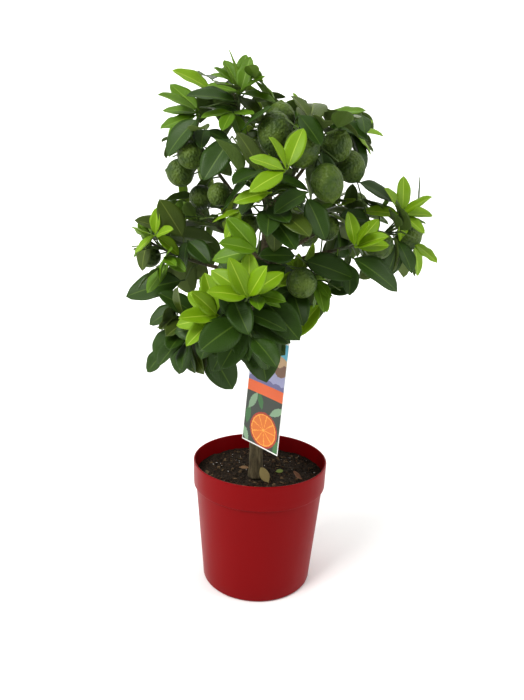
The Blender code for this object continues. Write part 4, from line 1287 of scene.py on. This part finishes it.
def make_crumbs():
    """Crumbs, chips and grains on the soil: one modelled chunk, copied and warped."""
    choose()
    bpy.ops.mesh.primitive_ico_sphere_add(subdivisions=2, radius=1.0)
    chunk, chunk_faces = template(active())
    rng = random.Random(77)
    for name, count, small, large, flat, dark, light in CRUMBS:
        parts = []
        while len(parts) < count:
            r = (CRUMB_REACH - 1.0) * math.sqrt(rng.random())
            turn = rng.uniform(0, 2 * math.pi)
            x, y = r * math.cos(turn), r * math.sin(turn)
            size = rng.uniform(small, large) * rng.uniform(0.6, 1.0)
            to_trunk = math.hypot(x - TRUNK_FOOT[0], y - TRUNK_FOOT[1])
            if to_trunk < TRUNK_KEEP_OUT or r + size > CRUMB_REACH:
                continue
            stretch = Vector((rng.uniform(0.9, 1.5), rng.uniform(0.5, 1.0), flat)) * (size / 2)
            shift = Vector((rng.uniform(0, 90), 0, 0))
            tip_over = Matrix.Rotation(rng.uniform(0, 6.28), 3, "Z")
            tip_over = tip_over @ Matrix.Rotation(rng.uniform(-0.6, 0.6), 3, "X")
            tip_over = tip_over @ Matrix.Rotation(rng.uniform(-0.6, 0.6), 3, "Y")
            base = Vector((x, y, soil_height(x, y) + size * flat * 0.18))
            corners = []
            for v in chunk:
                v = Vector(v)
                v = v * (1 + 0.35 * noise.noise(v * 1.3 + shift))
                corners.append((base + tip_over @ (v * stretch)) * MM)
            parts.append((np.array(corners), chunk_faces))
        finish = soil_material(name.replace("_", " "), dark, light, 600.0)
        put(joined(name, parts, [finish]), "potting_soil", "soil")


def make_litter():
    """Fallen bits on the soil: a folded dry leaf, a curled one and small scraps."""
    across, along, side, faces, _, uv = leaf_template()
    rng = random.Random(8)
    for name, foot, direction, face, length, width, droop, colour in LITTER:
        blade = leaf(metres(foot), Vector(direction), Vector(face), length, width, droop)
        corners = shaped(blade, across, along, side, rng)
        finish = grained(name.replace("_", " "), colour, 0.7, 300.0, 0.6, 0.0008)
        put(piece_from(name, corners, faces.tolist(), [finish], None, uv), "potting_soil")


# Label -------------------------------------------------------------------------------

CARD_COLUMNS, CARD_ROWS = 65, 150
STRAP_SIDES, STRAP_POINTS = 40, 15
STRAP_THICKNESS = 0.9
PRINT = {
    "white": (0.80, 0.80, 0.77), "sky": (0.16, 0.52, 0.68), "sand": (0.62, 0.43, 0.26),
    "earth": (0.26, 0.15, 0.10), "violet": (0.42, 0.42, 0.62), "dusk": (0.20, 0.19, 0.36),
    "orange": (0.83, 0.17, 0.05), "night": (0.062, 0.075, 0.060), "sage": (0.28, 0.42, 0.27),
    "leaf": (0.07, 0.20, 0.07), "glow": (0.88, 0.42, 0.07), "ember": (0.72, 0.20, 0.03),
    "red": (0.48, 0.06, 0.03),
}
PRINT_LEAVES = (
    # middle across and up the card, turn, half length and half width in mm, colour
    (-0.30, 0.40, 1.1, 15, 5.2, "sage"), (-0.10, 0.42, 1.9, 12, 4.5, "leaf"),
    (0.36, 0.38, 0.6, 14, 5.0, "sage"), (-0.40, 0.26, 1.5, 14, 4.6, "leaf"),
    (0.43, 0.06, 1.3, 12, 4.5, "leaf"), (-0.42, 0.07, 2.0, 12, 4.5, "sage"),
)
PRINT_SLICE = (0.06, 0.17)
PRINT_EDGE = 0.012


def print_at(x, y):
    """The generic design: sky, dunes, hills and a band over a slice of fruit and leaves.

    x runs from -0.5 to 0.5 across the card and y from 0 to 1 up it.
    """
    if not PRINT_EDGE <= y <= 1 - PRINT_EDGE or abs(x) > 0.5 - PRINT_EDGE:
        return "white"
    if y > 0.86 + 0.02 * math.sin(7 * x):
        return "sky"
    if y > 0.72 + 0.03 * math.sin(11 * x + 1):
        return "sand" if y > 0.79 + 0.02 * math.sin(17 * x) else "earth"
    if y > 0.58:
        return "violet" if y > 0.61 + 0.02 * abs(math.sin(14 * x + 0.5)) else "dusk"
    if y > 0.48:
        return "orange"
    dx, dy = (x - PRINT_SLICE[0]) * LABEL_WIDTH, (y - PRINT_SLICE[1]) * LABEL_HEIGHT
    far, turn = math.hypot(dx, dy), math.atan2(dy, dx)
    if far < 24.5:
        if far > 22.0:
            return "red"
        if far > 20.5 or far < 2.2:
            return "glow"
        return "glow" if abs(math.sin(turn * 4.5)) < 0.16 + 0.6 / far else "ember"
    for cx, cy, tilt, length, width, tone in PRINT_LEAVES:
        px, py = (x - cx) * LABEL_WIDTH, (y - cy) * LABEL_HEIGHT
        u = px * math.cos(tilt) + py * math.sin(tilt)
        v = -px * math.sin(tilt) + py * math.cos(tilt)
        if abs(u) < length and abs(v) < width * (1 - (u / length) ** 2):
            return tone
    return "night"


def print_material(name, colour, roughness):
    return grained(name, colour, roughness, 260.0, 0.12, 0.0006)


def card_place(x, y, out):
    """A point of the card, a little twisted and bowed, in metres."""
    bow = 1.6 * MM * (1 - (2 * x) ** 2) * (0.3 + y) - 0.8 * MM
    twist = 1.4 * MM * (2 * x) * (0.5 - y)
    return label_point(x, y, out + bow * 0.6 + twist)


def make_card():
    """The card: a front and a back of small squares, each in the colour of its print."""
    wide = CARD_COLUMNS + 1
    layer = wide * (CARD_ROWS + 1)
    thick = LABEL_THICKNESS * MM * 0.35
    corners = [
        card_place(i / CARD_COLUMNS - 0.5, j / CARD_ROWS, out)
        for out in (-thick, thick) for j in range(CARD_ROWS + 1) for i in range(wide)
    ]
    names = list(PRINT)
    faces, which = [], []
    for j in range(CARD_ROWS):
        for i in range(CARD_COLUMNS):
            a = j * wide + i
            ring = [a, a + 1, a + wide + 1, a + wide]
            x, y = (i + 0.5) / CARD_COLUMNS - 0.5, (j + 0.5) / CARD_ROWS
            faces += [ring, [layer + k for k in reversed(ring)]]
            back = "white" if y < 0.48 else print_at(-x, y)
            which += [names.index(print_at(x, y)), names.index(back)]
    rim = [(k, k + 1) for i in range(CARD_COLUMNS) for k in (i, CARD_ROWS * wide + i)]
    rim += [(k, k + wide) for j in range(CARD_ROWS) for k in (j * wide, j * wide + CARD_COLUMNS)]
    faces += [[a, b, layer + b, layer + a] for a, b in rim]
    which += [names.index("white")] * len(rim)
    materials = [print_material("print " + name, PRINT[name], 0.38) for name in names]
    card = piece_from("label_card", corners, faces, materials, which, smooth=False)
    bm = bmesh.new()
    bm.from_mesh(card.data)
    bmesh.ops.recalc_face_normals(bm, faces=bm.faces)
    bm.to_mesh(card.data)
    bm.free()
    put(card, "label_card", "plant_label")


def make_strap():
    """The strap: a flat loop round the trunk, and a strip from it to the card."""
    middle = trunk_axis(LABEL_LOOP_HEIGHT)
    inner = trunk_radius(LABEL_LOOP_HEIGHT) + (GAP + 0.4) * MM
    outer = inner + STRAP_THICKNESS * MM
    half = STRAP_WIDTH * MM / 2
    loop, loop_faces = [], []
    for radius, rise in ((inner, -half), (outer, -half), (outer, half), (inner, half)):
        loop += [middle + Vector(corner) for corner in round_row(radius, rise, STRAP_SIDES)]
    for a in range(4):
        loop_faces += between(a * STRAP_SIDES, (a + 1) % 4 * STRAP_SIDES, STRAP_SIDES)
    front = middle + Vector((0, -inner - 0.6 * MM, 0))
    path = bend(card_place(0.0, 0.97, 0.0), Vector((0, 0, 1)), front, STRAP_POINTS)
    strip, strip_faces = [], []
    last = STRAP_POINTS - 1
    for i, point in enumerate(path):
        along = (path[min(i + 1, last)] - path[max(i - 1, 0)]).normalized()
        normal = along.cross(Vector((1, 0, 0))).normalized() * (0.35 * MM)
        for w, n in ((1, 1), (-1, 1), (-1, -1), (1, -1)):
            strip.append(point + Vector((half * w, 0, 0)) + normal * n)
    for i in range(last):
        strip_faces += between(i * 4, i * 4 + 4, 4)
    strip_faces += [[3, 2, 1, 0], [last * 4 + k for k in range(4)]]
    parts = [(np.array(loop), loop_faces), (np.array(strip), strip_faces)]
    finish = print_material("label strap", PRINT["white"], 0.4)
    put(joined("label_strap", parts, [finish], smooth=False), "label_card", "plant_label")


# Stage, light and camera -------------------------------------------------------------

STAGE_SIDE, STAGE_FRONT, STAGE_BEND, STAGE_RADIUS, STAGE_TOP = 9.0, -6.0, 5.0, 3.0, 9.0
STAGE_DROP = 0.0004  # under the pot's foot
LIGHTS = (
    # name, place, what it faces, width, height, power
    ("key", (-1.1, -1.3, 2.0), (0, 0, 0.4), 0.8, 0.8, 30.0),
    ("side_right", (1.5, -0.5, 0.8), (0, 0, 0.3), 0.4, 1.5, 7.0),
    ("side_left", (-1.5, -0.6, 0.7), (0, 0, 0.2), 0.3, 1.5, 6.0),
    ("wall", (0.0, 3.0, 4.5), (0, 7.5, 1.5), 4.0, 4.0, 260.0),
)
CAMERA_PLACE = (-0.00323, -0.7923, 0.5245)
CAMERA_PITCH, CAMERA_ROLL = math.radians(13.15), math.radians(2.19)
CAMERA_LENS = 30.34


def make_stage():
    """A pale floor that runs up into a wall behind, in one soft sweep."""
    choose()
    bpy.ops.mesh.primitive_plane_add(size=1.0)
    floor = active()
    floor.name = floor.data.name = "studio_sweep"
    rows = [(STAGE_FRONT, 0.0), (STAGE_BEND, 0.0)]
    for degrees in range(10, 91, 10):
        a = math.radians(degrees)
        rows.append((STAGE_BEND + STAGE_RADIUS * math.sin(a), STAGE_RADIUS * (1 - math.cos(a))))
    rows.append((STAGE_BEND + STAGE_RADIUS, STAGE_TOP))
    bm = bmesh.new()
    made = [
        [bm.verts.new((x, y, z - STAGE_DROP)) for x in (-STAGE_SIDE, STAGE_SIDE)] for y, z in rows
    ]
    for a, b in zip(made, made[1:]):
        bm.faces.new((a[0], a[1], b[1], b[0]))
    bm.to_mesh(floor.data)
    bm.free()
    floor.data.shade_smooth()
    floor.data.materials.clear()
    floor.data.materials.append(
        grained("studio white", (0.93, 0.93, 0.92), 0.9, 40.0, 0.02, 0.001, specular=0.1))


def make_light():
    """A room that is bright behind and above the tree, and four soft lights."""
    world = bpy.data.worlds.new("studio")
    bpy.context.scene.world = world
    world.use_nodes = True
    tree = world.node_tree
    sky = tree.nodes["Background"]
    source = tree.nodes.new("ShaderNodeTexCoord")
    split = tree.nodes.new("ShaderNodeSeparateXYZ")
    link(tree, source, "Generated", split, "Vector")
    behind = maths(tree, "MULTIPLY_ADD", (split, "Y"), 0.40, 0.62)
    above = maths(tree, "MULTIPLY_ADD", (split, "Z"), 0.35, (behind, "Value"))
    link(tree, above, "Value", sky, "Strength")
    sky.inputs["Color"].default_value = (1.0, 1.0, 1.0, 1.0)
    for name, place_at, target, wide, tall, power in LIGHTS:
        data = bpy.data.lights.new(name, "AREA")
        data.energy = power
        data.shape = "RECTANGLE"
        data.size = wide
        data.size_y = tall
        lamp = bpy.data.objects.new(name, data)
        bpy.context.scene.collection.objects.link(lamp)
        lamp.location = place_at
        way = Vector(target) - Vector(place_at)
        lamp.rotation_euler = way.to_track_quat("-Z", "Y").to_euler()


def make_camera():
    """The photograph's viewpoint, fitted to the pot's ellipses."""
    forward = Vector((0, math.cos(CAMERA_PITCH), -math.sin(CAMERA_PITCH)))
    right = Vector((1, 0, 0))
    up = right.cross(forward)
    x_axis = right * math.cos(CAMERA_ROLL) + up * math.sin(CAMERA_ROLL)
    y_axis = up * math.cos(CAMERA_ROLL) - right * math.sin(CAMERA_ROLL)
    data = bpy.data.cameras.new("camera")
    data.lens = CAMERA_LENS
    data.sensor_width = 36.0
    camera = bpy.data.objects.new("camera", data)
    bpy.context.scene.collection.objects.link(camera)
    turn = Matrix((x_axis, y_axis, -forward)).transposed().to_4x4()
    camera.matrix_world = Matrix.Translation(CAMERA_PLACE) @ turn
    bpy.context.scene.camera = camera


def main():
    look = bpy.context.scene.view_settings
    look.view_transform = "Standard"
    look.exposure = 0.28
    look.gamma = 0.84
    make_stage()
    make_light()
    make_camera()
    make_pot()
    make_soil()
    make_crumbs()
    make_litter()
    make_limbs()
    make_card()
    make_strap()
    masses = grow_all(obstacles())
    make_leaves(masses)
    make_twigs(masses)
    make_fruit(masses)


main()
bpy.context.view_layer.update()
